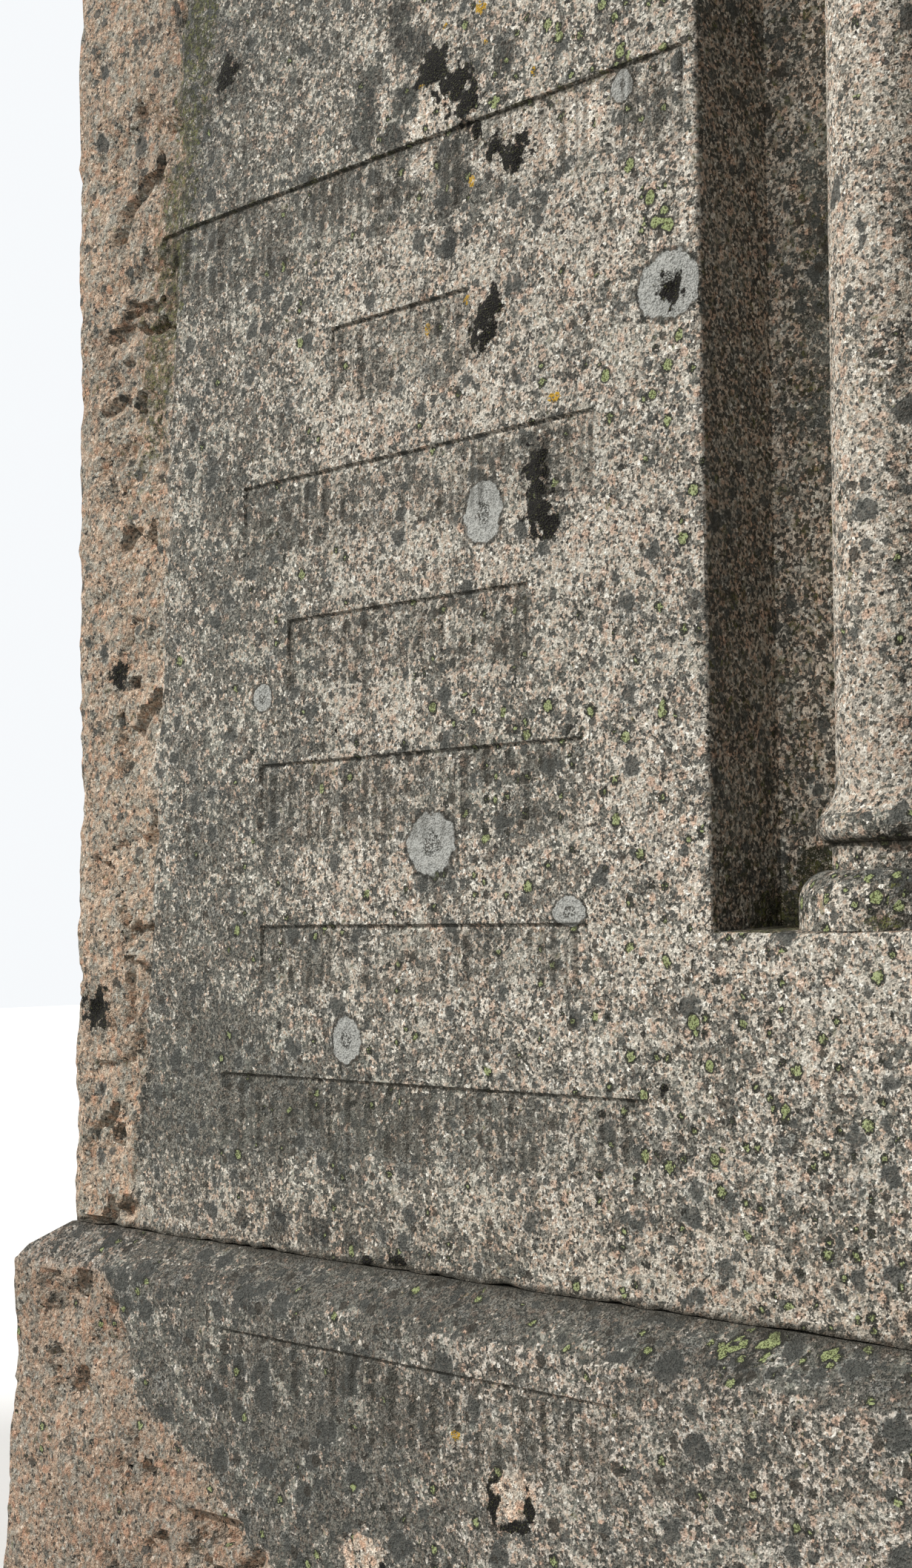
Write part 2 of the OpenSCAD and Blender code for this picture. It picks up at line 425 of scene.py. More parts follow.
def grain_group():
    """Cells of grain size, each one mineral by its random number, with finer flecks in it.
    Some larger crystals lie over the grains, and dark pores between them. A second random
    number of each grain is given out as Chance, for what grows on some grains and not others."""
    group, given, out = new_group("granite grain", {"Vector": None, "Pores": 0.5},
                                  ["Colour", "Height", "Mottle", "Chance"])
    place = given["Vector"]
    bend = group.put("ShaderNodeTexNoise", {"Vector": place, "Scale": 1 / (4 * MM),
                                            "Detail": 0.0}).outputs["Color"]
    bend = group.scaled(group.vector("SUBTRACT", bend, (0.5, 0.5, 0.5)), 0.7 * GRAIN)
    moved = group.vector("ADD", bend, place)
    numbers, _ = group.cells(moved, 1 / GRAIN)
    colour = group.steps(numbers[0], MINERALS)
    large, from_middle = group.cells(moved, 1 / CRYSTAL)
    crystal = group.times(group.between(large[0], 0.46, 0.42),
                          group.between(from_middle, 0.50, 0.34))
    of_kind = group.mix(group.between(large[1], 0.55, 0.57), SALMON, CREAM)
    colour = group.mix(group.times(crystal, 0.55), colour, of_kind)
    flecks = group.noise(place, FLECK, 1.0)
    colour = group.scaled(colour, group.spread(flecks, 0.3, 0.7, 0.55, 1.42))
    limit = group.line(given["Pores"], -0.20, 0.71)
    pore = group.between(group.less(group.noise(place, PORE, 1.0), limit), 0.0, 0.06)
    group.give(group.mix(group.times(pore, 0.90), colour, PEPPER), out["Colour"])
    group.give(group.line(pore, -0.8, group.times(flecks, 0.9)), out["Height"])
    group.give(flecks, out["Mottle"])
    group.give(numbers[1], out["Chance"])
    return group.tree


grain = grain_group()
print(f"{grain.name}: {len(grain.nodes)} nodes, {len(MINERALS)} minerals")

# %% [markdown]
# Many crust lichens grow as discs. A lattice with one disc in each cell gives them random
# places and sizes, and a little noise added to the distance from the middle frays the edge.

# %% Lichen discs
def discs_group():
    """Round growths: in each cell of a lattice a disc of random size, present where the cell's
    random number is below the density, with a ragged edge and a rim."""
    group, given, out = new_group("lichen discs", {"Vector": None, "Cell": 0.02, "Density": 0.5,
                                                   "Ragged": 0.3}, ["Mask", "Rim", "Tone"])
    scale = group.calc("DIVIDE", 1.0, given["Cell"])
    numbers, from_middle = group.cells(given["Vector"], scale)
    uneven = group.put("ShaderNodeTexNoise",
                       {"Vector": given["Vector"], "Scale": group.times(scale, 4.5),
                        "Detail": 1.0}).outputs["Fac"]
    away = group.line(group.less(uneven, 0.5), given["Ragged"], from_middle)
    inside = group.less(group.line(numbers[1], 0.28, 0.20), away)
    there = group.calc("LESS_THAN", numbers[0], given["Density"])
    near_edge = group.between(group.calc("ABSOLUTE", inside), 0.12, 0.06)
    group.give(group.times(group.between(inside, -0.02, 0.05), there), out["Mask"])
    group.give(group.times(near_edge, there), out["Rim"])
    group.give(numbers[2], out["Tone"])
    return group.tree


discs = discs_group()
print(f"{discs.name}: {len(discs.nodes)} nodes")

# %% [markdown]
# Between the discs lies a thin grey film. It has no outline of its own, so it is a noise that
# is cut at a level, and it stops at the grains that it doesn't like.

# %% Lichen film
def veil_group():
    """A broken film in patches of about a centimetre: noise at two sizes plus the chance of
    each grain, cut so that the density is about the share of the surface that it covers. The
    lowest parts of the noise are given out as Gaps, for growths that keep clear of the film,
    and the coarse noise as Drift."""
    group, given, out = new_group("lichen veil", {"Vector": None, "Density": 0.5,
                                                  "Gap Density": 0.1, "Chance": 0.5},
                                  ["Mask", "Gaps", "Drift"])
    coarse = group.noise(given["Vector"], 40 * MM, 1.0)
    fine = group.noise(given["Vector"], 9.5 * MM, 3.0)
    field = group.line(coarse, 0.5, fine)
    field = group.line(group.less(given["Chance"], 0.5), 0.22, field)
    over = group.less(field, group.spread(given["Density"], 0.0, 1.0, 0.96, 0.585))
    under = group.less(group.line(given["Gap Density"], 0.40, 0.28), fine)
    group.give(group.between(over, -0.02, 0.04), out["Mask"])
    group.give(group.between(under, -0.01, 0.03), out["Gaps"])
    group.give(coarse, out["Drift"])
    return group.tree


veil = veil_group()
print(f"{veil.name}: {len(veil.nodes)} nodes")

# %% [markdown]
# ## Weathered granite
# One recipe makes all the stones, with a tint and a grain relief for each use. The colour is
# built up in layers, as it grew: clean grain, the grey film and discs, a drift of tone that in
# the recess also holds painted light and shade, the yellow and orange lichens, the pale discs,
# dirt together with painted shade, and moss. Where each one grows is a number on the vertices,
# so a growth stays on its stone and can follow ledges, joints and edges.

# %% Colours of the growths
GREY_CRUST = (0.028, 0.030, 0.027, 1)
GREY_CRUST_LIGHT = (0.106, 0.112, 0.094, 1)
GREY_DISC = (0.060, 0.063, 0.058, 1)
CHALK = (0.340, 0.355, 0.305, 1)
BLACK_CRUST = (0.040, 0.036, 0.028, 1)
PALE_CRUST = (0.395, 0.403, 0.380, 1)
PALE_CRUST_DARK = (0.225, 0.230, 0.215, 1)
MAP_LICHEN = (0.300, 0.350, 0.160, 1)
MAP_GAPS = (0.085, 0.095, 0.035, 1)
BLACK_RIM = (0.020, 0.020, 0.016, 1)
ORANGE = (0.440, 0.260, 0.020, 1)
DRY_MOSS = (0.005, 0.004, 0.003, 1)
GREEN_MOSS = (0.100, 0.106, 0.028, 1)
# the dark layer: dirt at the joints, painted shade in cracks, grooves, the recess and under the
# ring
DIRT_AND_PAINTED_SHADE = (0.034, 0.031, 0.023, 1)
OLIVE_MOSS = (0.030, 0.032, 0.011, 1)
BROKEN_WARM = (0.89, 0.745, 0.645, 1)
BROKEN_GREY = (0.66, 0.660, 0.635, 1)

# how much of what lies under it each layer hides
COVER = {"olive": 0.66, "chalk": 0.62, "film": 0.78, "rim": 0.35, "large": 0.90, "small": 0.88,
         "green": 0.88, "map rim": 0.90, "map": 0.92, "pit": 0.80, "pale": 0.95,
         "pale rim": 0.75, "dirt": 0.90}
print(len(COVER), "layers; the strongest hides", max(COVER.values()))

# %% [markdown]
# A stone's tree starts with what all the layers share. Ragged is a noise between -1 and 1: a
# growth's number plus this noise has a frayed outline. Mottle, the flecks of the grain, breaks
# a growth up from within.

# %% Skin of a stone
class Skin(Painter):
    """The tree of a weathered stone, with the values that several layers read. Pores gather
    under the film, leave a fresh break, and cover a surface whose number worn is over 1."""

    def __init__(self, tree):
        super().__init__(tree)
        self.spot = self.put("ShaderNodeTexCoord").outputs["Object"]
        self.ragged = self.line(self.noise(self.spot, 9 * MM, 3.0), 1.25, -0.625)
        self.crust = self.amount("crust")
        self.worn = self.amount("worn")
        self.fresh = self.amount("fresh")
        pores = self.line(self.crust, 0.35, 0.45)
        pores = self.line(self.fresh, -0.40, pores)
        hacked = self.calc("MAXIMUM", self.less(self.worn, 1.0), 0.0)
        pores = self.line(hacked, 0.85, pores)
        self.clean = self.use(grain, Vector=self.spot, Pores=pores)
        self.mottle = self.clean["Mottle"]
        self.patchy = self.between(self.mottle, 0.36, 0.52)
        tips = self.times(self.between(self.noise(self.spot, 5 * MM, 1.0), 0.50, 0.60),
                          self.between(self.mottle, 0.36, 0.50))
        self.olive = self.mix(tips, OLIVE_MOSS, GREEN_MOSS)

    def amount(self, key):
        """The number of that name on the vertices."""
        return self.put("ShaderNodeAttribute", attribute_name=key).outputs["Fac"]

    def grown(self, key):
        """1 where the number plus the ragged noise is over a half, with a narrow edge."""
        return self.between(self.calc("ADD", self.amount(key), self.ragged), 0.45, 0.52)

    def cover(self, under, over, layer, mask):
        """The colour over laid on the colour under: its share is the mask times the number
        of the layer in COVER."""
        return self.mix(self.times(mask, COVER[layer]), under, over)


print("grown gives", Skin.grown.__doc__)

# %% [markdown]
# The lowest layer is the stone itself. Where it broke, feldspar shows fresh and the tone is
# warmer, but not everywhere. A second grain pattern for the break would be one way. Here the
# same grains are multiplied by a slow change of tone, so that no grain is cut at the border.

# %% Clean and broken stone
def stone_colour(skin, tint):
    """The grain's colour times the tint. A fresh break is warmer in some patches and greyer in
    others, which a noise of 14 mm picks."""
    tinted = skin.vector("MULTIPLY", skin.clean["Colour"], tint)
    patch = skin.between(skin.noise(skin.spot, 14 * MM), 0.38, 0.60)
    broken = skin.mix(patch, BROKEN_GREY, BROKEN_WARM)
    return skin.mix(skin.fresh, tinted, skin.vector("MULTIPLY", tinted, broken))


print("red against grey in a warm break:", round(BROKEN_WARM[0] / BROKEN_GREY[0], 2))

# %% [markdown]
# The grey growths come next, and cover most of the stone. One noise could stand for all of
# them, but up close a film and a disc look different. Film, large discs and small discs are
# separate, and read the same number, so that they thicken and thin together.

# %% Grey film and discs
LARGE_DISC = {"Cell": 0.027, "Ragged": 0.5}
SMALL_DISC = {"Cell": 0.0125, "Ragged": 0.6}
MAP_DISC = {"Cell": 0.0112, "Ragged": 0.55}


def grey_layers(skin, colour):
    """The film with what keeps clear of it: olive moss in the gaps and chalky lichen on some
    grains. Then large discs with a pale rim, and small ones of which some are black. How many
    discs there are grows with the number crust. At the end the number tone lightens or
    darkens all."""
    chance = skin.clean["Chance"]
    film = skin.use(veil, Vector=skin.spot, Density=skin.crust, Chance=chance,
                    Gap_Density=skin.line(skin.amount("green"), 0.55, 0.17))
    large = skin.use(discs, Vector=skin.spot, Density=skin.line(skin.crust, 0.62, -0.04),
                     **LARGE_DISC)
    small = skin.use(discs, Vector=skin.spot, Density=skin.line(skin.crust, 0.95, -0.02),
                     **SMALL_DISC)
    colour = skin.cover(colour, skin.olive, "olive", skin.times(film["Gaps"], skin.patchy))
    chalky = skin.times(skin.between(film["Drift"], 0.50, 0.38),
                        skin.between(chance, 0.30, 0.34))
    colour = skin.cover(colour, CHALK, "chalk", skin.times(chalky, skin.crust))
    grey = skin.mix(skin.between(skin.mottle, 0.38, 0.66), GREY_CRUST, GREY_CRUST_LIGHT)
    colour = skin.cover(colour, grey, "film", film["Mask"])
    rim = skin.times(large["Rim"], skin.between(skin.mottle, 0.44, 0.58))
    colour = skin.cover(colour, PALE_CRUST, "rim", rim)
    flat_grey = skin.mix(0.72, grey, GREY_DISC)
    colour = skin.cover(colour, flat_grey, "large", large["Mask"])
    dark = skin.mix(skin.between(small["Tone"], 0.70, 0.74), flat_grey, BLACK_CRUST)
    colour = skin.cover(colour, dark, "small", small["Mask"])
    # Random tone, stains and bare patches; in the recess this number also holds painted light and
    # shade.
    return skin.scaled(colour, skin.calc("ADD", skin.amount("tone"), 1.0))


print("discs a metre:", [round(1 / kind["Cell"]) for kind in (LARGE_DISC, SMALL_DISC, MAP_DISC)])

# %% [markdown]
# The bright growths are rare, and the eye finds them first. A random scatter would put them in
# wrong places, so each kind has its own number on the vertices, and only its outline is left
# to chance.

# %% Green, yellow and orange growths
def bright_layers(skin, colour):
    """Green algae, yellow map lichen and orange spots. Map lichen grows as small discs with a
    black rim. Where its number is over 1, at a named mark, it's one whole patch in a black
    line."""
    colour = skin.cover(colour, skin.olive, "green",
                        skin.times(skin.grown("green"), skin.patchy))
    wanted = skin.amount("map")
    yellow = skin.use(discs, Vector=skin.spot, Density=wanted, **MAP_DISC)
    speck = skin.between(skin.mottle, 0.42, 0.50)
    frayed = skin.line(skin.ragged, 0.5, wanted)
    whole = skin.between(frayed, 1.20, 1.26)
    colour = skin.cover(colour, BLACK_RIM, "map rim", skin.between(frayed, 1.01, 1.07))
    colour = skin.cover(colour, skin.mix(speck, MAP_GAPS, MAP_LICHEN), "map",
                        skin.calc("MAXIMUM", yellow["Mask"], whole))
    colour = skin.mix(skin.times(yellow["Rim"], skin.less(0.95, whole)), colour, BLACK_RIM)
    return skin.mix(skin.times(skin.grown("orange"), speck), colour, ORANGE)


# %% [markdown]
# The last layers lie over all the others: pale discs with a dark rim, a dark layer that is
# painted shade in the cracks, under the edges of the bands, in the recess and under the ring,
# and dirt at the joints, and tufts of moss. A disc's number falls evenly from its middle,
# so one number gives the disc, its rim and its pitted middle, by cutting it at three levels.

# %% Pale discs, dirt and moss
def top_layers(skin, colour):
    """A pale disc fills its number from 0.48 up. It has a black line at its rim and, from 0.76
    up, black specks in its middle. Over everything lie the moss and a dark layer: painted shade
    in the cracks, the grooves, the recess and under the ring, and grime at the joints and under
    the ring."""
    disc = skin.line(skin.ragged, 0.24, skin.amount("pale"))
    pale = skin.mix(skin.between(skin.mottle, 0.30, 0.56), PALE_CRUST_DARK, PALE_CRUST)
    middle = skin.times(skin.between(disc, 0.76, 0.84), skin.between(skin.mottle, 0.56, 0.50))
    pale = skin.cover(pale, BLACK_RIM, "pit", middle)
    rim = skin.between(skin.calc("ABSOLUTE", skin.less(disc, 0.47)), 0.050, 0.025)
    colour = skin.cover(colour, pale, "pale", skin.between(disc, 0.48, 0.51))
    colour = skin.cover(colour, BLACK_RIM, "pale rim", rim)
    # Dirt at the joints and painted shade in the cracks, grooves, recess and under the ring, in one
    # dark layer.
    colour = skin.cover(colour, DIRT_AND_PAINTED_SHADE, "dirt", skin.amount("dirt"))
    tufts = skin.between(skin.line(skin.ragged, 1.3, skin.amount("moss")), 0.45, 0.58)
    lit = skin.times(skin.between(skin.mottle, 0.58, 0.70), 0.5)
    return skin.mix(tufts, colour, skin.mix(lit, DRY_MOSS, GREEN_MOSS))


# %% [markdown]
# All layers together make the colour. Grains stand out by less than 2 mm. As geometry they
# would take millions of faces, so they are a bump, and only what is larger is in the mesh. The
# roughness follows the flecks, as mica and quartz shine a little and the rest doesn't.

# %% Relief and shader
def grain_height(skin):
    """Height in grains: that of the grain group, knobs of 7.5 mm that stand out more where the
    stone is worn, and the pile of the moss."""
    knobs = skin.noise(skin.spot, 7.5 * MM, 1.0)
    height = skin.line(knobs, skin.line(skin.worn, 2.0, 0.9), skin.clean["Height"])
    return skin.line(skin.times(skin.amount("moss"), skin.mottle), 2.0, height)


def weathered_granite(name, tint, relief):
    """Granite with growths that read the vertex numbers of GROWTH_KEYS. tint multiplies the
    grain colour; relief is the height of a grain. Roughness falls from 0.96 on dark flecks to
    0.70 on light ones."""
    material = bpy.data.materials.new(name)
    material.use_nodes = True
    material.node_tree.nodes.clear()
    skin = Skin(material.node_tree)
    colour = stone_colour(skin, tint)
    for layers in (grey_layers, bright_layers, top_layers):
        colour = layers(skin, colour)
    bump = skin.put("ShaderNodeBump",
                    {"Height": grain_height(skin), "Strength": 1.0, "Distance": relief})
    gloss = skin.spread(skin.mottle, 0.3, 0.7, 0.96, 0.70)
    shader = skin.put("ShaderNodeBsdfPrincipled",
                      {"Base Color": colour, "Roughness": gloss,
                       "Normal": bump.outputs["Normal"], "Specular IOR Level": 0.25})
    end = skin.put("ShaderNodeOutputMaterial")
    skin.give(shader.outputs["BSDF"], end.inputs["Surface"])
    print(f"{name}: {len(material.node_tree.nodes)} nodes")
    return material


GROWTH_KEYS = ["tone", "crust", "pale", "map", "orange", "moss", "green", "dirt", "fresh",
               "worn"]
die_granite = weathered_granite("die granite", (1.04, 1.07, 1.09), 1.7 * MM)
plinth_granite = weathered_granite("plinth granite", (0.99, 1.00, 1.02), 1.8 * MM)
column_granite = weathered_granite("column granite", (1.03, 1.05, 1.06), 1.4 * MM)
cap_granite = weathered_granite("cap granite", (0.94, 0.97, 0.96), 1.7 * MM)
core_masonry = weathered_granite("core masonry", (0.75, 0.76, 0.78), 2.5 * MM)

# %% [markdown]
# ## Wear of arrises
# A sharp arris of granite loses grains until it is slightly round, with a chip here and there.
# Each worn edge is a line: points nearer to it than the reach move into the stone, most at the
# line itself. As the move depends on the distance to the line alone, it is the same for both
# surfaces that meet there.

# %% Edge wear
def edge(axis, at, inward, reach=7 * MM, deep=2.2 * MM, run=None):
    """An edge along axis 0, 1 or 2 through the point at; run limits it to (from, to)."""
    inward = np.array(inward, float)
    return {"axis": axis, "at": np.array(at, float), "inward": inward / np.linalg.norm(inward),
            "reach": reach, "deep": deep, "run": run}


def worn_edges(p, edges, seed):
    """Sum over the edges of the inward direction times deep (1 - d / reach)^2, d being the
    distance to the line. Noise along the line varies the depth from about a half to twice,
    and the reach with it."""
    move = np.zeros_like(p)
    for e in edges:
        others = [k for k in range(3) if k != e["axis"]]
        d = np.sqrt(((p[:, others] - e["at"][others]) ** 2).sum(1))
        if e["run"]:
            along = p[:, e["axis"]]
            past = np.maximum(np.maximum(e["run"][0] - along, along - e["run"][1]), 0)
            d = np.sqrt(d ** 2 + past ** 2)
        near = d < e["reach"] * 1.5
        if not near.any():
            continue
        line = np.zeros_like(p[near])
        line[:, e["axis"]] = p[near, e["axis"]]
        vary = 0.45 + 1.1 * noise(line, 45 * MM, seed) * noise(line, 11 * MM, seed + 7) * 2
        share = np.clip(1 - d[near] / (e["reach"] * (0.7 + 0.4 * vary)), 0, 1) ** 2
        move[near] += e["inward"] * (e["deep"] * vary * share)[:, None]
    return move


shown_edge = edge(0, (0, 0, 0), (0, 1, 1))
print(f"an edge reaches {shown_edge['reach'] / MM:.0f} mm,",
      f"and goes {shown_edge['deep'] / MM:.1f} mm deep")

# %% [markdown]
# ## Rock-faced corners
# The corners were left as they broke from the quarry: pitched off along a drawn line, with
# hollows, sharp-edged steps and a rounded corner. The relief runs round the corner, so the
# direction in which it moves a point turns smoothly from the front to the left side. It fades
# out at the drawn line, which itself wanders a little.

# %% Rock face
ROCK_SWELL = 3.5 * MM
ROCK_LEDGE = 13 * MM
ROCK_GRAIN = 2.4 * MM
SCAR_TALL = 92 * MM


def rock_move(p, outer, z0, margin, seed, loss, foot, reach):
    """Move of the points near the left front corner of a stone. a is the distance from the
    corner along the front, b the distance along the left side, and t = (b - a) / margin. The
    direction turns with t by 45 (1 + t) degrees. The depth has four parts: slow noise; scars,
    where a slanting sawtooth in height grows to its full depth and drops back; fine noise;
    and the loss at the corner itself. The foot swells out by a part that dies off upwards.
    All is scaled by a fade that is 0 at the drawn line, where |t| = 1. The second result is 1
    inside the line, and the third is 1 in the cracks: the steep top of a scar and its sides."""
    a = p[:, 0] + outer
    b = p[:, 1] + outer
    wide = margin(p[:, 2], b > a) * (1 + 0.10 * rough(p, 55 * MM, seed + 3, 3))
    t = np.clip((b - a) / wide, -1, 1)
    angle = np.radians(45 * (1 + t))
    out = np.stack([-np.sin(angle), -np.cos(angle), np.zeros_like(t)], 1)
    fade = step(0.0, 0.10, 1 - np.abs(t))
    slow = ROCK_SWELL * (0.6 - 1.1 * rough(p, 75 * MM, seed, 3))
    slanted = p[:, 2] / SCAR_TALL + 1.5 * noise(p, 70 * MM, seed + 11)
    slanted += 0.7 * noise(p, 22 * MM, seed + 12) + 0.4 * noise(p, 9 * MM, seed + 15)
    way = slanted % 1
    saw = np.where(way > 0.94, (1 - way) / 0.06, (way / 0.94) ** 1.5)
    strong = noise(p, 52 * MM, seed + 13) + 0.12 * rough(p, 16 * MM, seed + 14, 2)
    strong = step(0.51, 0.56, strong)
    off_corner = 0.20 + 0.80 * step(0.12, 0.36, np.abs(t))
    scars = ROCK_LEDGE * saw * strong * off_corner
    fine = ROCK_GRAIN * (rough(p, 15 * MM, seed + 17, 3) + 0.8 * rough(p, 42 * MM, seed + 18, 2))
    near = np.clip(1 - np.abs(t) * 4, 0, 1) ** 2
    swell = foot * np.clip(1 - (p[:, 2] - z0) / reach, 0, 1)
    depth = slow * (0.45 + 0.55 * off_corner) + scars + fine - swell + near * loss
    depth = np.maximum(depth, -foot - MM) * fade
    crack = step(0.945, 0.965, way) * strong * off_corner * fade
    return out * depth[:, None] * -1, (np.abs(t) < 1) * fade, crack


def seam_dirt_and_shade(p, broken, crack, seed):
    """Darker colour in the cracks of the rock face, which is painted shade under the steep top of
    each scar, and darker colour along the drawn line, where the fade is between a twentieth and
    a third, on stretches that a noise picks."""
    at_line = step(0.02, 0.10, broken) * step(0.40, 0.22, broken)
    along = 0.75 * at_line * step(0.45, 0.62, noise(p, 38 * MM, seed + 21))
    return np.maximum(along, 0.72 * crack * step(0.34, 0.60, noise(p, 14 * MM, seed + 23)))


print(f"scars to {ROCK_LEDGE / MM:.0f} mm deep and {SCAR_TALL / MM:.0f} mm high,",
      f"grain {ROCK_GRAIN / MM:.1f} mm")

# %% [markdown]
# ## Sunken bands
# Seven bands on the front and one on the plinth were sunk a few millimetres, with raised
# upright bars left standing in them. The upper edge of each band is still sharp where its
# shadow falls, while the foot has weathered nearly flush. Here the bars are a plain reeding.

# %% Bands and reeding
BAND_AXIS = -(ARRIS + 307 * MM)
BANDS = [
    # upper edge above the bed, height, width, shift to the left, in millimetres; strength of the
    # painted shade under the upper edge
    (908, 70, 618, 14, 1.0),
    (776, 67, 160, 6, 0.9),
    (657, 62, 407, 0, 0.5),
    (535, 63, 280, 6, 0.5),
    (413, 72, 372, -2, 0.6),
    (275, 56, 375, -3, 0.6),
    (148, 63, 474, 0, 0.8),
]
PLINTH_BAND = (-61, 67, 430, -25, 0.6)
REED_PITCH = 23 * MM
REED_HALF = 4.6 * MM
BAND_DEEP = 3.0 * MM
SEAM = 0.8 * MM


def band_box(row):
    """Left, right, foot and top of a band in metres."""
    top, tall, wide, shift, _ = row
    middle = BAND_AXIS - shift * MM
    return (middle - wide * MM / 2, middle + wide * MM / 2,
            BED_Z + (top - tall) * MM, BED_Z + top * MM)


def way_inside(p, row):
    """Distance of each point from the nearest edge of a band, negative outside it."""
    x0, x1, z0, z1 = band_box(row)
    return np.minimum(np.minimum(p[:, 0] - x0, x1 - p[:, 0]),
                      np.minimum(p[:, 2] - z0, z1 - p[:, 2]))


def sunk_share(p, rows):
    """1 inside any of the bands and 0 outside, smooth over a few millimetres."""
    share = np.zeros(len(p))
    for row in rows:
        share = np.maximum(share, step(-4 * MM, 4 * MM, way_inside(p, row)))
    return share


def band_relief(p, rows, seed):
    """Depth below the face. Inside a band the floor falls from 45% of the depth at its foot
    to all of it under the upper edge, and bars stand on it every pitch. The second result
    is painted shade: strongest under the upper edge and in the grooves beside the bars, and
    patchy round the outline of the band."""
    depth = np.zeros(len(p))
    dirt = np.zeros(len(p))
    bite = 0.5 * MM * rough(p, 9 * MM, seed, 2)
    for row in rows:
        _, _, z0, z1 = band_box(row)
        inside = way_inside(p, row) + bite
        near = inside > -4 * MM
        q = p[near]
        edge_in = step(-0.8 * MM, 0.8 * MM, inside[near])
        way_up = np.clip((q[:, 2] - z0) / (z1 - z0), 0, 1)
        floor = BAND_DEEP * (0.42 + 0.58 * way_up)
        place_in_pitch = np.abs((q[:, 0] - BAND_AXIS) / REED_PITCH % 1 - 0.5) * REED_PITCH
        from_side = REED_HALF * (0.85 + 0.3 * noise(q, 30 * MM, seed + 5)) - place_in_pitch
        ends_in = np.minimum(q[:, 2] - z0, z1 - q[:, 2]) - 5.5 * MM
        bar = step(-1.2 * MM, 1.2 * MM, np.minimum(from_side, ends_in))
        left = 0.25 + 0.75 * step(0.25, 0.7, noise(q, 40 * MM, seed + 9))
        depth[near] = edge_in * floor * (1 - 0.85 * bar * left)
        # Painted shade in the grooves beside the bars, under the brow of the band and round its
        # outline.
        groove = step(4.0 * MM, 0.5 * MM, np.abs(from_side)) * (ends_in > -2 * MM)
        brow = step(2.6 * MM, 0.6 * MM, z1 - q[:, 2]) * row[4]
        brow *= 0.25 + noise(q, 50 * MM, seed + 16)
        patchy = 0.35 + 0.65 * step(0.35, 0.6, noise(q, 26 * MM, seed + 15))
        dirt[near] = np.maximum(edge_in * np.maximum(0.72 * groove * patchy, 0.8 * brow),
                                0.45 * step(1.8 * MM, 0, np.abs(inside[near])) * patchy)
    return depth, dirt


print(len(BANDS), "bands on the face, the widest", max(row[2] for row in BANDS),
      "mm, with a bar every", round(REED_PITCH / MM), "mm")

# %% [markdown]
# ## Marks at their places
# Some growths and scars are too distinct to leave to chance: the white disc low on the face,
# a ring with a black pit beside the recess, tufts of dry moss, spalls and chips. Each has a
# place, as the distance left of the recess and the height above the bed, and a size. The
# number that a mark puts on the vertices is 1 in its middle and falls through 0.5 at its rim.

# %% Named marks
# each mark: left of the recess, above the bed, width and height, in millimetres
PALE_MARKS = [(487, 471, 24, 24), (281, 339, 54, 50), (134, 284, 32, 22), (383, 181, 34, 38),
              (28, 734, 58, 50), (219, 596, 40, 50), (71, 893, 22, 26)]
MOSS_MARKS = [(264, 962, 40, 34), (246, 944, 36, 38), (230, 921, 26, 36), (221, 902, 12, 18),
              (181, 871, 34, 28), (203, 881, 20, 18), (204, 757, 22, 26), (213, 744, 30, 30),
              (219, 731, 22, 22), (162, 618, 24, 44), (156, 585, 34, 36), (529, 1037, 24, 26),
              (538, 1020, 12, 12), (26, 730, 22, 26), (395, 435, 10, 10), (46, 156, 8, 8),
              (729, 200, 44, 34), (703, 508, 26, 24), (322, 8, 26, 8), (360, 4, 16, 7)]
STAIN_MARKS = [(306, 1008, 26, 60), (287, 986, 32, 30), (345, 975, 26, 34), (352, 941, 28, 60),
               (301, 943, 32, 34), (315, 919, 30, 28), (190, 950, 24, 30), (256, 890, 22, 18),
               (259, 877, 16, 20), (243, 866, 24, 30), (256, 846, 18, 24), (252, 816, 16, 26),
               (471, 24, 26, 30), (417, 22, 24, 26), (378, 16, 20, 16), (520, 24, 18, 20)]
BARE_MARKS = [(270, 924, 66, 44), (276, 888, 60, 22), (150, 880, 150, 60)]
MAP_MARKS = [(71, 918, 14, 14), (44, 801, 14, 16), (40, 782, 13, 14), (27, 778, 13, 14),
             (199, 917, 12, 12), (90, 679, 12, 14), (45, 657, 11, 12), (63, 831, 12, 12),
             (-62, 148, 14, 14), (18, 205, 14, 14), (4, 175, 13, 13), (1, 111, 12, 12)]
ORANGE_MARKS = [(214, 996, 12, 14), (192, 988, 12, 10), (204, 985, 9, 9), (280, 951, 7, 7),
                (253, 998, 6, 10), (209, 968, 6, 6), (158, 928, 6, 8), (228, 860, 8, 8),
                (236, 768, 9, 8), (282, 753, 8, 12), (142, 671, 11, 10)]
# the last number of a pit is its depth
PIT_MARKS = [(395, 435, 11, 11, 6), (26, 730, 24, 28, 7), (46, 156, 9, 9, 5),
             (729, 200, 46, 34, 9), (703, 508, 28, 24, 7), (618, 1052, 66, 26, 7),
             (661, 985, 26, 30, 6), (682, 800, 36, 14, 7), (688, 716, 40, 34, 7),
             (683, 641, 22, 28, 6), (690, 420, 18, 30, 6), (702, 181, 12, 26, 6),
             (322, 4, 30, 16, 4)]
PLINTH_BARE = [(165, -140, 52, 40), (323, -214, 46, 38)]
PLINTH_MOSS = [(182, -146, 13, 30), (147, -146, 12, 26), (160, -162, 26, 10), (303, -222, 10, 20)]
PLINTH_ORANGE = [(219, -106, 9, 7)]
BASE_MAP = [(-134, 291, 13, 13), (-126, 304, 8, 7), (-143, 305, 9, 8), (-111, 296, 7, 7)]
BASE_GREEN = [(-138, 274, 26, 9), (-122, 272, 12, 7), (-146, 300, 12, 8)]
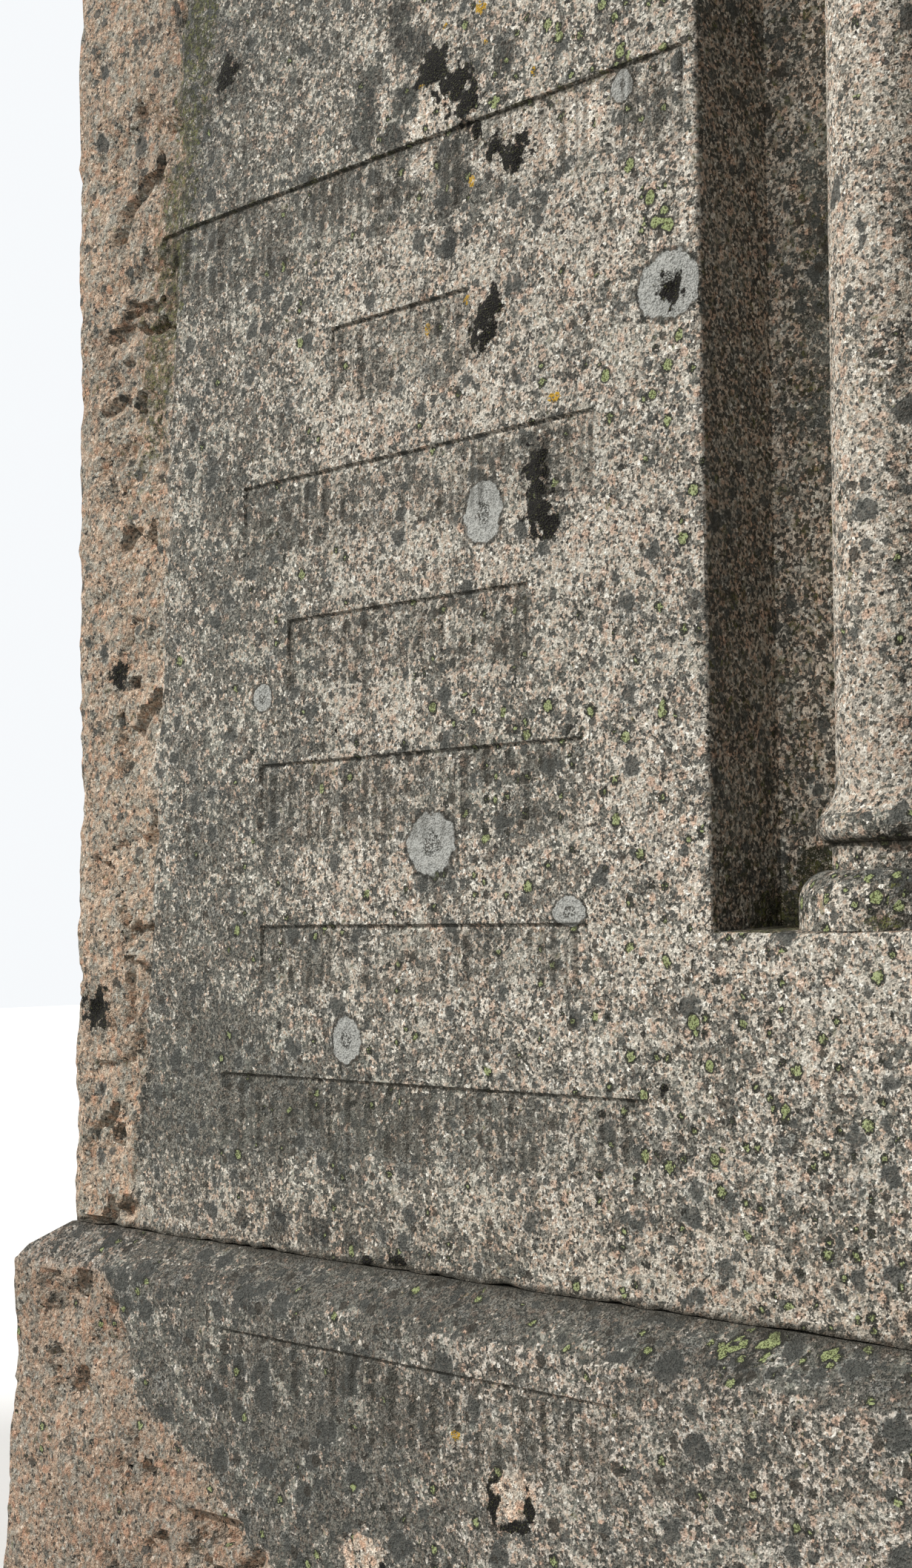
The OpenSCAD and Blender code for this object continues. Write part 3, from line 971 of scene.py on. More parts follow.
SLOPE_MAP = [(-51, -6, 24, 16), (-22, -13, 20, 14), (-43, -25, 16, 14), (40, -34, 16, 14),
             (39, -24, 14, 12), (-100, -8, 18, 14)]
MAP_STRENGTH = 1.9


def from_middle(p, row):
    """Distance from the middle of a mark, across in half widths and up in half heights."""
    across = (p[:, 0] + ARRIS + row[0] * MM) / (row[2] * MM / 2)
    up = (p[:, 2] - BED_Z - row[1] * MM) / (row[3] * MM / 2)
    return across, up


def mark_field(p, rows):
    """Highest over the marks of 1 - r / 2, r being the distance from the mark's middle in
    half widths and half heights, cut at 0."""
    field = np.zeros(len(p))
    for row in rows:
        across, up = from_middle(p, row)
        field = np.maximum(field, 1 - np.sqrt(across ** 2 + up ** 2) / 2)
    return np.maximum(field, 0)


def pit_depth(p, rows):
    """Depth of the pits: for each, its depth times (1 - r^2)^2 inside its rim."""
    depth = np.zeros(len(p))
    for row in rows:
        across, up = from_middle(p, row)
        depth = np.maximum(depth, row[4] * MM * np.clip(1 - across ** 2 - up ** 2, 0, 1) ** 2)
    return depth


print("marks on the face:", len(PALE_MARKS + MOSS_MARKS + STAIN_MARKS + MAP_MARKS + ORANGE_MARKS),
      "and", len(PIT_MARKS), "pits, the deepest", max(row[4] for row in PIT_MARKS), "mm")

# %% [markdown]
# ## Die stones
# Each die stone is one facing block: the front with its recess, and the left end behind the
# rock-faced corner. First its wear: the arrises, the rock face, and a slight unevenness that a
# dressed face has. The front stone also gets the bands, the pits and the piles of moss.

# %% Wear of a die stone
SEED_STEP = 40
DIE_SEED = 100
DIE_LOSS = 8 * MM
DIE_FOOT = 6 * MM
DIE_FOOT_REACH = 0.40
DIE_EDGES = [
    edge(2, (-ARRIS, -HALF, 0), (-1, 1, 0), run=(LEDGE_Z, HEAD_Z)),
    edge(2, (ARRIS, -HALF, 0), (1, 1, 0), run=(LEDGE_Z, HEAD_Z)),
    edge(0, (0, -HALF, LEDGE_Z), (0, 1, -1), run=(-ARRIS, ARRIS)),
    edge(0, (0, -HALF, HEAD_Z), (0, 1, 1), run=(-ARRIS, ARRIS)),
    edge(0, (0, -HALF, BED_Z), (0, 1, 1), reach=6 * MM, deep=1.8 * MM),
    edge(0, (0, -HALF, CAP_Z), (0, 1, -1), reach=6 * MM, deep=1.8 * MM),
    edge(1, (-HALF, 0, BED_Z), (1, 0, 1), reach=7 * MM, deep=2.5 * MM),
    edge(1, (-HALF, 0, CAP_Z), (1, 0, -1), reach=7 * MM, deep=2.5 * MM),
    edge(2, (CORE, -HALF, 0), (-1, 1, 0), reach=5 * MM, deep=2.0 * MM),
    edge(2, (-HALF, -CORE, 0), (1, -1, 0), reach=5 * MM, deep=2.0 * MM),
]


def die_margin(side):
    """Width of the rock-faced margin by height: wider towards the top, and more so on the
    front of the front stone than behind its corner."""
    def width(z, behind):
        grow = np.where(behind | (side != 0), 0.030, 0.080)
        return 0.108 + grow * np.clip((z - BED_Z) / 1.1, 0, 1.15)
    return width


def die_rock(p, side):
    """The rock face of a die stone: its move, where it is, and its cracks."""
    return rock_move(p, HALF, BED_Z, die_margin(side), DIE_SEED + SEED_STEP * side,
                     loss=DIE_LOSS, foot=DIE_FOOT, reach=DIE_FOOT_REACH)


def die_wear(side):
    """The worn place of a point. The unevenness is up to 1 mm deep and dies off over the last
    10 mm before every edge of the face, which would open otherwise."""
    seed = DIE_SEED + SEED_STEP * side

    def wear(p):
        move = worn_edges(p, DIE_EDGES, seed)
        rock, _, _ = die_rock(p, side)
        move += rock
        face = np.abs(p[:, 1] + HALF) < SAME
        wave = 0.5 * MM * (1 + rough(p, 30 * MM, seed + 2, 3))
        clear = step(0, 10 * MM, np.minimum.reduce([
            p[:, 0] + HALF, np.abs(p[:, 0] + ARRIS), np.abs(p[:, 0] - ARRIS), CORE - p[:, 0],
            p[:, 2] - BED_Z, CAP_Z - p[:, 2]]))
        inward = wave * clear
        if side == 0:
            depth, _ = band_relief(p, BANDS, seed)
            inward += depth + pit_depth(p, PIT_MARKS)
            tuft = step(0.45, 0.8, mark_field(p, MOSS_MARKS))
            inward -= tuft * 2.5 * MM * (0.4 + noise(p, 6 * MM, seed + 4))
        move[face, 1] += inward[face]
        return p + move
    return wear


print(f"{len(DIE_EDGES)} edges; rock margin {die_margin(0)(BED_Z, False):.3f} wide at the foot, "
      f"{die_margin(0)(CAP_Z, False):.3f} at the top")

# %% [markdown]
# Then its growths. The film is a sum of soft steps in the distance left of the recess and the
# height above the bed: thick low down and at the left, thin just above the bed, and nearly
# absent on the rock face, where the stone is still fresh.

# %% Film on the dressed face
DIE_FILM = 0.43


def face_film(p, side, drift):
    """Share of the dressed face that the film covers."""
    left = -ARRIS - p[:, 0]
    up = p[:, 2] - BED_Z
    veil_left = step(0.34, 0.56, left) * step(0.02, 0.14, up) * (0.26 if side == 0 else 0.10)
    low = step(0.24, 0.12, up) * step(0.12, 0.26, np.abs(p[:, 0]) - ARRIS) * 0.30
    low -= step(0.085, 0.045, up) * (0.07 + 0.10 * step(0.1, 0.4, left))
    low -= step(0.20, 0.08, left) * step(0.18, 0.26, up) * step(0.50, 0.40, up) * 0.12
    high = step(0.26, 0.40, left) * step(0.80, 0.95, up) * 0.09
    return DIE_FILM + veil_left + low + high + 0.30 * drift


spot = np.array([[-ARRIS - 0.5, -HALF, BED_Z + 0.5]])
print("film half a metre left of the recess:", round(float(face_film(spot, 0, 0)[0]), 2))

# %% [markdown]
# The recess is sheltered. Less film grows in it and more green, most round the foot of the
# column where water stands. Its wall is painted lighter, for the light that the column throws
# on it, and its sides are painted darker at the arris, for the shade there. An image map could
# say so too. Formulas of the distance to the wall, the ledge and the column do it without one,
# and the same for all four sides.

# %% Growths in the recess
def recess_film(p, side, drift):
    """Share of film in the recess: less just above the ledge, and on the front stone more on a
    stretch of the wall at a third of a metre to two thirds above it."""
    over_ledge = p[:, 2] - LEDGE_Z
    lower = step(0.38, 0.20, over_ledge)
    stretch = step(0.30, 0.38, over_ledge) * step(0.62, 0.54, over_ledge) \
        * step(98 * MM, 78 * MM, np.abs(p[:, 0])) * (side == 0)
    return 0.34 + 0.25 * drift - 0.06 * lower + 0.34 * stretch


def recess_painted_light(p):
    """Painted light and shade in the recess. The wall is painted lighter than the face, most in
    the middle beside the column and low down. The sides of the recess are painted darker at the
    arris and lighter towards the wall."""
    on_wall = p[:, 1] > WALL_Y - 2 * MM
    beside_column = step(0, 54 * MM, ARRIS - np.abs(p[:, 0]))
    inward = np.clip((p[:, 1] + HALF) / RECESS_DEEP, 0, 1)
    lower = step(0.38, 0.20, p[:, 2] - LEDGE_Z)
    return np.where(on_wall, 0.56 * beside_column + 0.26 * lower + 0.16,
                    0.28 * inward - 0.16)


def recess_green(p, drift):
    """Green on all of the recess, most round the foot of the column, in the corners beside
    the drum, and where the wall meets the column."""
    over_ledge = p[:, 2] - LEDGE_Z
    aside = np.abs(p[:, 0])
    on_wall = p[:, 1] > WALL_Y - 2 * MM
    foot = step(30 * MM, 22 * MM, over_ledge) * step(70 * MM, 80 * MM, aside) \
        * step(-WALL_Y + 34 * MM, -WALL_Y + 22 * MM, -p[:, 1])
    beside = step(64 * MM, 54 * MM, over_ledge) * step(54 * MM, 62 * MM, aside) \
        * step(98 * MM, 90 * MM, aside)
    beside = np.maximum(beside, 0.4 * on_wall * step(66 * MM, 54 * MM, aside))
    return np.clip(np.maximum(foot, beside) * 0.70 + 0.30 + 0.15 * drift, 0, 1)


spot = np.array([[0.0, WALL_Y, LEDGE_Z + 0.05]])
print("green in the corner under the drum:", round(float(recess_green(spot, 0)[0]), 2))

# %% [markdown]
# The front stone is the one that the view shows. Its bands and named marks come last, over
# what every die stone has. They count only for points on the unworn front, because a mark is
# a place in two coordinates and would go right through the stone otherwise.

# %% Marks of the front stone
def front_marks(p, out, seed):
    """Adds to the growths of the front stone: painted shade and film in the bands, the named
    marks, and green along a soft seam high at the left and under the brow of the first band."""
    left = -ARRIS - p[:, 0]
    up = p[:, 2] - BED_Z
    front = np.abs(p[:, 1] + HALF) < SAME
    _, groove = band_relief(p, BANDS, seed)
    # Painted shade in the bands: under their upper edges and in the grooves beside the bars.
    out["dirt"] = np.clip(out["dirt"] + groove * front, 0, 1)
    out["crust"] = np.clip(out["crust"] + 0.12 * sunk_share(p, BANDS) * front, 0, 1)
    out["pale"] = mark_field(p, PALE_MARKS) * front
    out["moss"] = mark_field(p, MOSS_MARKS) * front
    out["orange"] = mark_field(p, ORANGE_MARKS) * front
    out["map"] = np.maximum(out["map"], MAP_STRENGTH * mark_field(p, MAP_MARKS) * front)
    bare = step(0.38, 0.62, mark_field(p, BARE_MARKS)) * front
    out["crust"] *= 1 - 0.9 * bare
    stain = step(0.36, 0.60, mark_field(p, STAIN_MARKS)) * front
    out["crust"] = np.maximum(out["crust"], stain)
    out["tone"] += 0.16 * bare - 0.42 * stain
    seam_left = 0.665 - 0.10 * np.clip((up - 0.66) / 0.45, 0, 1.2)
    seam = step(64 * MM, 6 * MM, np.abs(left - seam_left)) * step(0.56, 0.80, up)
    _, _, _, first_top = band_box(BANDS[0])
    brow = step(7 * MM, 0, np.abs(p[:, 2] - first_top)) * step(0.60, 0.55, left)
    out["green"] = np.clip(out["green"] + (0.57 * seam + 0.45 * brow) * front, 0, 1)


# %% [markdown]
# One function gathers all the numbers of a die stone. It is made anew for each side, with the
# side's seed inside it, so that the shell builder only has to call it with the points. The
# recess gets a coarse relief, as it was never dressed as finely as the face.

# %% All growths of a die stone
def die_growth(side):
    """The numbers on the points of a die stone."""
    seed = DIE_SEED + SEED_STEP * side

    def growth(p):
        left = -ARRIS - p[:, 0]
        up = p[:, 2] - BED_Z
        out = {key: np.zeros(len(p)) for key in GROWTH_KEYS}
        _, broken, crack = die_rock(p, side)
        drift = rough(p, 0.16, seed + 20, 3)
        in_recess = (p[:, 1] > -HALF + 2 * MM) & (np.abs(p[:, 0]) <= ARRIS + MM)
        film = np.where(in_recess, recess_film(p, side, drift), face_film(p, side, drift))
        out["crust"] = np.clip(film * (1 - 0.78 * broken), 0, 1)
        at_foot = step(0.10, 0.03, up) * 0.30
        out["fresh"] = np.maximum(np.maximum(broken, 0.5 * in_recess), at_foot)
        out["worn"] = np.maximum(broken, in_recess * 1.7)
        out["tone"] = 0.16 * rough(p, 0.12, seed + 22, 3) - 0.14 * broken * step(0.5, 1.0, up)
        # Painted light and shade in the recess: a lighter wall, and sides darker at the arris.
        out["tone"] += in_recess * recess_painted_light(p)
        out["map"] = np.clip(0.13 + 0.08 * step(0.15, -0.1, left) + 0.24 * drift, 0, 1) \
            * (1 - 0.7 * broken) * step(0.65, 0.25, left) * (1 - in_recess)
        # Darker colour: dirt at the beds and joints, painted shade in all of the recess, and
        # painted shade in the cracks of the rock face.
        at_bed = step(9 * MM, 1 * MM, up) + step(9 * MM, 1 * MM, CAP_Z - p[:, 2])
        on_end = np.abs(p[:, 0] + HALF) < MM
        out["dirt"] = np.clip(0.9 * at_bed + 0.8 * step(7 * MM, MM, CORE - p[:, 0])
                              + 0.8 * on_end * step(7 * MM, MM, -CORE - p[:, 1])
                              + 0.10 * in_recess + seam_dirt_and_shade(p, broken, crack, seed), 0, 1)
        out["green"] = in_recess * recess_green(p, drift)
        if side == 0:
            front_marks(p, out, seed)
        return out
    return growth


# %% [markdown]
# Then the grids. They are close where the camera looks and open elsewhere. Grid lines are put
# on both sides of every band edge and bar, so that a fine step is caught without making the
# whole grid fine, and close together beside every joint and arris.

# %% Grid lines
LINE_GAP = 1.4 * MM
LINE_GAP_UP = 1.2 * MM
DIE_CLOSE = np.array([0, 1.5, 3.5, 6, 10]) * MM
COURSE_CLOSE = np.array([0, 2, 4.5, 8]) * MM


def thin_out(values, gap, firm=()):
    """Sorted values with those nearer than gap to the one before or to a firm value left out;
    the ends and the firm values are kept."""
    values = np.unique(np.round(values, 5))
    firm = np.round(firm, 5)
    kept = [values[0]]
    for v in values[1:-1]:
        clear = np.abs(firm - v).min(initial=1.0) >= gap
        if clear and v - kept[-1] >= gap and values[-1] - v >= gap:
            kept.append(v)
    kept.append(values[-1])
    return np.unique(np.concatenate([kept, firm]))


def graded(runs, seams, close, gap, more=(), firm=()):
    """Grid lines: even runs (start, end, spacing), close ones beside each seam (place, 1 or -1
    for the side), and more where they are given."""
    beside = [at + way * close for at, way in seams]
    return thin_out(np.concatenate([lines(*runs), *beside, more]), gap, firm)


def bar_lines(x0, x1):
    """Lines for the reeded field: two on each side of every bar, and two at each band end."""
    bars = BAND_AXIS + (np.arange(-20, 20) + 0.5) * REED_PITCH
    parts = [bars + way for way in (-REED_HALF - SEAM, -REED_HALF + 2 * SEAM, 0,
                                    REED_HALF - 2 * SEAM, REED_HALF + SEAM)]
    for row in BANDS:
        left, right_end, _, _ = band_box(row)
        parts.append(np.array([left - SEAM, left + SEAM, right_end - SEAM, right_end + SEAM]))
    found = np.concatenate(parts)
    return found[(found > x0) & (found < x1)]


def edge_lines(rows):
    """A line on both sides of the foot and the top of every band."""
    return np.array([at + way for row in rows for at in band_box(row)[2:]
                     for way in (-SEAM, SEAM)])


print(len(bar_lines(-HALF, -ARRIS)), "lines for the reeding,",
      len(edge_lines(BANDS)), "for the bands")

# %% [markdown]
# Beds and joint faces could be grids too, but nobody sees them. One polygon each is enough. It
# takes the points of the grids' outer lines in order, once round, so that the shell is closed.

# %% Closing faces
def in_row(x, y, z):
    """Points in a row from three coordinates; a plain number is repeated."""
    return np.column_stack(np.broadcast_arrays(x, y, z))


def round_bed(front, end, side_row):
    """Outline of a bed: along the front, to the far corner, and back along the left side."""
    return np.concatenate([front, [end], side_row[::-1][:-1]])


def closing_polygons(xs, ys, zs):
    """The lower bed, upper bed, joint face at the right and inner face of a die stone whose
    front and left grids have the lines xs, ys and zs."""
    far = [[CORE, -CORE, CAP_Z], [CORE, -CORE, BED_Z]]
    low, high = [round_bed(in_row(xs, -HALF, z), [CORE, -CORE, z], in_row(-HALF, ys, z))
                 for z in (BED_Z, CAP_Z)]
    right_end = np.concatenate([in_row(CORE, -HALF, zs), far])
    inner = np.concatenate([in_row(-HALF, -CORE, zs), far])
    return [(low, (0, 0, -1)), (high, (0, 0, 1)), (right_end, (1, 0, 0)), (inner, (0, 1, 0))]


print("a row:", in_row([0, 1], 2, 3).tolist())

# %% [markdown]
# Ten grids and four closing faces make a die stone. The recess takes five of the grids: its two
# sides, its wall, its ledge and its head.

# %% Die stones
CLOSE_WIDE = 0.20
SHOWN_Z = BED_Z + 0.98
FINE = {"up": 4.6 * MM, "margin": 3.6 * MM, "field": 9 * MM, "right": 34 * MM, "end": 6 * MM}
PLAIN = {"up": 14 * MM, "margin": 9 * MM, "field": 26 * MM, "right": 26 * MM, "end": 9 * MM}


def sloped(points):
    """Bends the recess to its sloping ledge and head: the middle height stays, and the heights
    shrink towards it in step with the depth."""
    way_in = (points[..., 1:2] + HALF) / RECESS_DEEP
    middle = (LEDGE_Z + HEAD_Z) / 2
    shrink = 1 - 2 * LEDGE_RISE * way_in / (HEAD_Z - LEDGE_Z)
    z = middle + (points[..., 2:3] - middle) * shrink
    return np.concatenate([points[..., :2], z], -1)


def die_heights(side, gap):
    """Heights of the grid lines below the recess, beside it and above it. On the front stone
    they are close up to where the view ends, and have firm lines at the bands."""
    marks = edge_lines(BANDS if side == 0 else [])
    middle = [(LEDGE_Z, HEAD_Z, gap)]
    if side == 0:
        middle = [(LEDGE_Z, SHOWN_Z, gap), (SHOWN_Z, HEAD_Z, PLAIN["up"])]
    return (graded([(BED_Z, LEDGE_Z, gap)], [(BED_Z, 1), (LEDGE_Z, -1)], DIE_CLOSE, LINE_GAP_UP,
                   firm=marks[marks < LEDGE_Z - MM]),
            graded(middle, [(LEDGE_Z, 1), (HEAD_Z, -1)], DIE_CLOSE, LINE_GAP_UP,
                   firm=marks[marks > LEDGE_Z + MM]),
            graded([(HEAD_Z, CAP_Z, PLAIN["up"])], [(HEAD_Z, 1), (CAP_Z, -1)], DIE_CLOSE,
                   LINE_GAP_UP))


def die_stone(side):
    """A facing block with its recess, dressed in its wear and growths."""
    gaps = FINE if side == 0 else PLAIN
    bars = bar_lines(-HALF + 0.15, -ARRIS - 11 * MM) if side == 0 else ()
    margin_end = -HALF + CLOSE_WIDE
    left_x = graded([(-HALF, margin_end, gaps["margin"]), (margin_end, -ARRIS, gaps["field"])],
                    [(-ARRIS, -1)], DIE_CLOSE, LINE_GAP, bars)
    mid_x = graded([(-ARRIS, ARRIS, 12 * MM)], [(-ARRIS, 1), (ARRIS, -1)], DIE_CLOSE, LINE_GAP)
    right_x = graded([(ARRIS, CORE, gaps["right"])], [(ARRIS, 1), (CORE, -1)], DIE_CLOSE,
                     LINE_GAP)
    into = graded([(-HALF, WALL_Y, 11 * MM)], [(-HALF, 1)], DIE_CLOSE, LINE_GAP)
    end_y = graded([(-HALF, -HALF + 0.15, gaps["end"]), (-HALF + 0.15, -CORE, 16 * MM)],
                   [(-CORE, -1)], DIE_CLOSE, LINE_GAP)
    low_z, mid_z, high_z = die_heights(side, gaps["up"])
    all_z = np.unique(np.concatenate([low_z, mid_z, high_z]))
    all_x = np.unique(np.concatenate([left_x, mid_x, right_x]))
    front = (0, -1, 0)
    sheets = [
        (sheet(left_x, -HALF, all_z), front),
        (sheet(mid_x, -HALF, low_z), front),
        (sheet(mid_x, -HALF, high_z), front),
        (sheet(right_x, -HALF, all_z), front),
        (sloped(sheet(-ARRIS, into, mid_z)), (1, 0, 0)),
        (sloped(sheet(ARRIS, into, mid_z)), (-1, 0, 0)),
        (sloped(sheet(mid_x, WALL_Y, mid_z)), front),
        (sloped(sheet(mid_x, into, LEDGE_Z)), (0, 0, 1)),
        (sloped(sheet(mid_x, into, HEAD_Z)), (0, 0, -1)),
        (sheet(-HALF, end_y, all_z), (-1, 0, 0)),
    ]
    return stone(f"worn_{SIDES[side]}_die_stone", sheets, closing_polygons(all_x, end_y, all_z),
                 die_wear(side), die_growth(side), side, die_granite,
                 f"{SIDES[side]}_die_stone")


for k in range(4):
    die_stone(k)

# %% [markdown]
# ## Plinth and cap stones
# The plinth stands out from the die, and its top slopes so that rain runs off. That slope is
# where lichen grows best, and it is nearly covered. The slope of the front meets the slope of
# the left side in a hip at the corner. Both grids end on the hip, where they share points. The
# cap stones have the same section, and their joints are in the middle of each side.

# %% Course stones
PLINTH_SEED = 300
CAP_SEED = 500
COURSE_LOSS = 1.5 * MM
PLINTH_FOOT = 17 * MM
COURSE_FOOT_REACH = 0.26


class Course:
    """One stone of a course: kind is plinth or cap. It reaches from the bed z0 to the bed z1
    and from the left front corner to end_x along the front and end_y along the side."""

    def __init__(self, kind, side):
        plinth = kind == "plinth"
        self.kind = kind
        self.side = side
        self.fine = plinth and side == 0
        self.z0, self.z1 = (0.0, BED_Z) if plinth else (CAP_Z, TOP_Z)
        self.end_x, self.end_y = (CORE, -CORE) if plinth else (0.0, 0.0)
        self.seed = (PLINTH_SEED if plinth else CAP_SEED) + SEED_STEP * side
        self.arris = self.z1 - SLOPE_H


def course_margin(course):
    """Width of the rock-faced margin by height. On the plinth it widens towards the ground:
    half as fast as the height falls, and on the front of the front stone nearly twice as fast
    as the height falls once it is 135 mm below the bed."""
    def width(z, behind):
        if course.kind == "cap":
            return 0.130 + 0.05 * (z - CAP_Z)
        below = BED_Z - z
        fast = np.where(behind | (course.side != 0), 0.15, 1.40)
        return np.minimum(0.140 + 0.5 * below + fast * np.maximum(below - 0.135, 0), 0.56)
    return width


for height in (BED_Z, 0.2, 0.0):
    print(f"plinth margin {height:.2f} above the ground:",
          round(float(course_margin(Course("plinth", 0))(height, False)), 3))

# %% [markdown]
# The wear of a course stone has the same parts as that of a die stone. The rock face would
# bend the slope as well. On the real stone the slope was dressed, so there the move fades from
# the whole at the arris to nothing at the die.

# %% Wear of a course stone
def course_rock(course, p):
    """The rock face of a course: on the slope it dies off towards the die, and the place on
    the slope is taken back to the arris below it."""
    on_slope = np.clip((p[:, 2] - course.arris) / SLOPE_H, 0, 1)
    low = p.copy()
    low[:, 2] = np.minimum(p[:, 2], course.arris)
    low[:, :2] -= (on_slope * COURSE_OUT)[:, None] * (p[:, :2] <= -CORE + 0.2)
    foot = PLINTH_FOOT if course.kind == "plinth" else 0.0
    move, broken, crack = rock_move(low, COURSE, course.z0, course_margin(course), course.seed,
                                    loss=COURSE_LOSS, foot=foot, reach=COURSE_FOOT_REACH)
    return move * (1 - on_slope)[:, None], broken, crack * (1 - on_slope)


def course_wear(course):
    """The worn place of a point: arrises, rock face, and the band on the front plinth stone."""
    edges = [
        edge(0, (0, -COURSE, course.arris), (0, 1, -1), reach=9 * MM, deep=3.0 * MM),
        edge(1, (-COURSE, 0, course.arris), (1, 0, -1), reach=9 * MM, deep=3.0 * MM),
        edge(0, (0, -COURSE, course.z0), (0, 1, 1), reach=8 * MM, deep=2.5 * MM),
        edge(1, (-COURSE, 0, course.z0), (1, 0, 1), reach=8 * MM, deep=2.5 * MM),
        edge(2, (course.end_x, -COURSE, 0), (-1, 1, 0), reach=5 * MM, deep=2.0 * MM),
        edge(2, (-COURSE, course.end_y, 0), (1, -1, 0), reach=5 * MM, deep=2.0 * MM),
    ]

    def wear(p):
        move = worn_edges(p, edges, course.seed)
        rock, _, _ = course_rock(course, p)
        move += rock
        if course.fine:
            depth, _ = band_relief(p, [PLINTH_BAND], course.seed)
            face = np.abs(p[:, 1] + COURSE) < SAME
            move[face, 1] += depth[face]
        return p + move
    return wear


# %% [markdown]
# Rain keeps the slope wet, and so it has the most lichen. The broken corner has hardly any. A
# step in height tells the slope from the face, so no second material is needed for it.

# %% Growths of a course stone
def course_film(course, broken, drift, slope, left):
    """Share of film. On the plinth it grows towards the left and covers the slope, apart from
    a barer stretch at the left. On the cap it is thinner."""
    if course.kind == "cap":
        return (0.42 + 0.18 * drift) * (1 - 0.8 * broken) + 0.30 * slope
    veil_left = step(0.12, 0.34, left) * (0.32 if course.side == 0 else 0.08)
    dressed = 0.55 + veil_left + 0.24 * drift
    film = dressed * (1 - broken) + broken * (0.06 + 0.05 * drift)
    barer = step(0.44, 0.72, left) * 0.50
    return np.maximum(film, slope * (1.0 - barer + 0.15 * drift))


def plinth_marks(course, p, out, slope):
    """The band's painted shade and the named marks of the front plinth stone."""
    front = np.abs(p[:, 1] + COURSE) < SAME
    _, groove = band_relief(p, [PLINTH_BAND], course.seed)
    # Painted shade in the band: under its upper edge and in the grooves beside the bars.
    out["dirt"] = np.clip(out["dirt"] + groove * front, 0, 1)
    out["moss"] = mark_field(p, PLINTH_MOSS) * front
    bare = step(0.40, 0.56, mark_field(p, PLINTH_BARE)) * front
    out["crust"] *= 1 - bare
    out["tone"] += 0.34 * bare
    out["fresh"] = np.maximum(out["fresh"], 0.8 * bare)
    out["orange"] = mark_field(p, PLINTH_ORANGE) * front
    out["map"] = np.maximum(out["map"], MAP_STRENGTH * slope * mark_field(p, SLOPE_MAP))


def course_growth(course):
    """The numbers on the points of a course stone."""
    plinth = course.kind == "plinth"

    def growth(p):
        out = {key: np.zeros(len(p)) for key in GROWTH_KEYS}
        drift = rough(p, 0.20, course.seed + 20, 3)
        slope = step(course.arris - 12 * MM, course.arris + 4 * MM, p[:, 2])
        _, broken, crack = course_rock(course, p)
        film = course_film(course, broken, drift, slope, -ARRIS - p[:, 0])
        out["crust"] = np.clip(film, 0, 1)
        out["fresh"] = broken * (1 - slope)
        out["worn"] = np.clip(broken + 0.2, 0, 1)
        out["tone"] = 0.22 * rough(p, 0.12, course.seed + 22, 3) - 0.12 * broken * plinth
        out["tone"] -= 0.16 * slope * plinth
        out["map"] = np.clip(0.045 + 0.06 * drift + 0.05 * slope, 0, 1)
        # Dark joint under the die, and painted shade in the cracks of the rock face.
        near_die = step(6 * MM, 0, course.z1 - p[:, 2]) * plinth
        seams = seam_dirt_and_shade(p, broken, crack, course.seed) * (1 - slope)
        out["dirt"] = np.clip(0.7 * near_die + seams, 0, 1)
        if course.fine:
            plinth_marks(course, p, out, slope)
        return out
    return growth


# %% [markdown]
# Four grids make a course stone: its front, its left side, and a slope over each. A hip could
# be cut afterwards, with a boolean. Squeezing the lines of both slopes so that they end on it
# is simpler, and leaves no thin triangles.

# %% Grids of a course stone
SLOPE_WAYS = np.linspace(0, 1, 5)
CORNER_WIDE = 0.16
FIELD_END = 0.30


def course_lines(course):
    """Grid lines along the front, along the left side and upwards, closest at the corner."""
    gap = 5 * MM if course.fine else PLAIN["up"]
    field = 9 * MM if course.fine else 26 * MM
    end_x, end_y = course.end_x, course.end_y
    corner = -COURSE + CORNER_WIDE
    bars = bar_lines(-COURSE + 0.15, -ARRIS) if course.fine else ()
    bands = edge_lines([PLINTH_BAND] if course.fine else [])
    xs = graded([(-COURSE, corner, gap), (corner, min(FIELD_END, end_x), field),
                 (min(FIELD_END, end_x - 0.01), end_x, 24 * MM)], [(end_x, -1)], COURSE_CLOSE,
                LINE_GAP, bars)
    ys = graded([(-COURSE, corner, gap), (corner, end_y, 20 * MM)], [(end_y, -1)], COURSE_CLOSE,
                LINE_GAP)
    zs = graded([(course.z0, course.arris, gap)], [(course.z0, 1), (course.arris, -1)],
                COURSE_CLOSE, LINE_GAP_UP, firm=bands)
    return xs, ys, zs


def slope_grid(course, along, far):
    """A slope from the arris to the line of the die: the place along it, the place across it
    and the height. The lines are squeezed towards the far end to make the hip."""
    a, w = np.meshgrid(along, SLOPE_WAYS, indexing="ij")
    hip = -COURSE + w * COURSE_OUT
    return hip + (a + COURSE) * (far - hip) / (far + COURSE), hip, course.arris + w * SLOPE_H


def course_sheets(course, xs, ys, zs):
    """Front, left side and the two slopes of a course stone."""
    fx, fy, fz = slope_grid(course, xs, course.end_x)
    ly, lx, lz = slope_grid(course, ys, course.end_y)
    return [(sheet(xs, -COURSE, zs), (0, -1, 0)), (sheet(-COURSE, ys, zs), (-1, 0, 0)),
            (np.stack([fx, fy, fz], -1), (0, -1, 1)), (np.stack([lx, ly, lz], -1), (-1, 0, 1))]


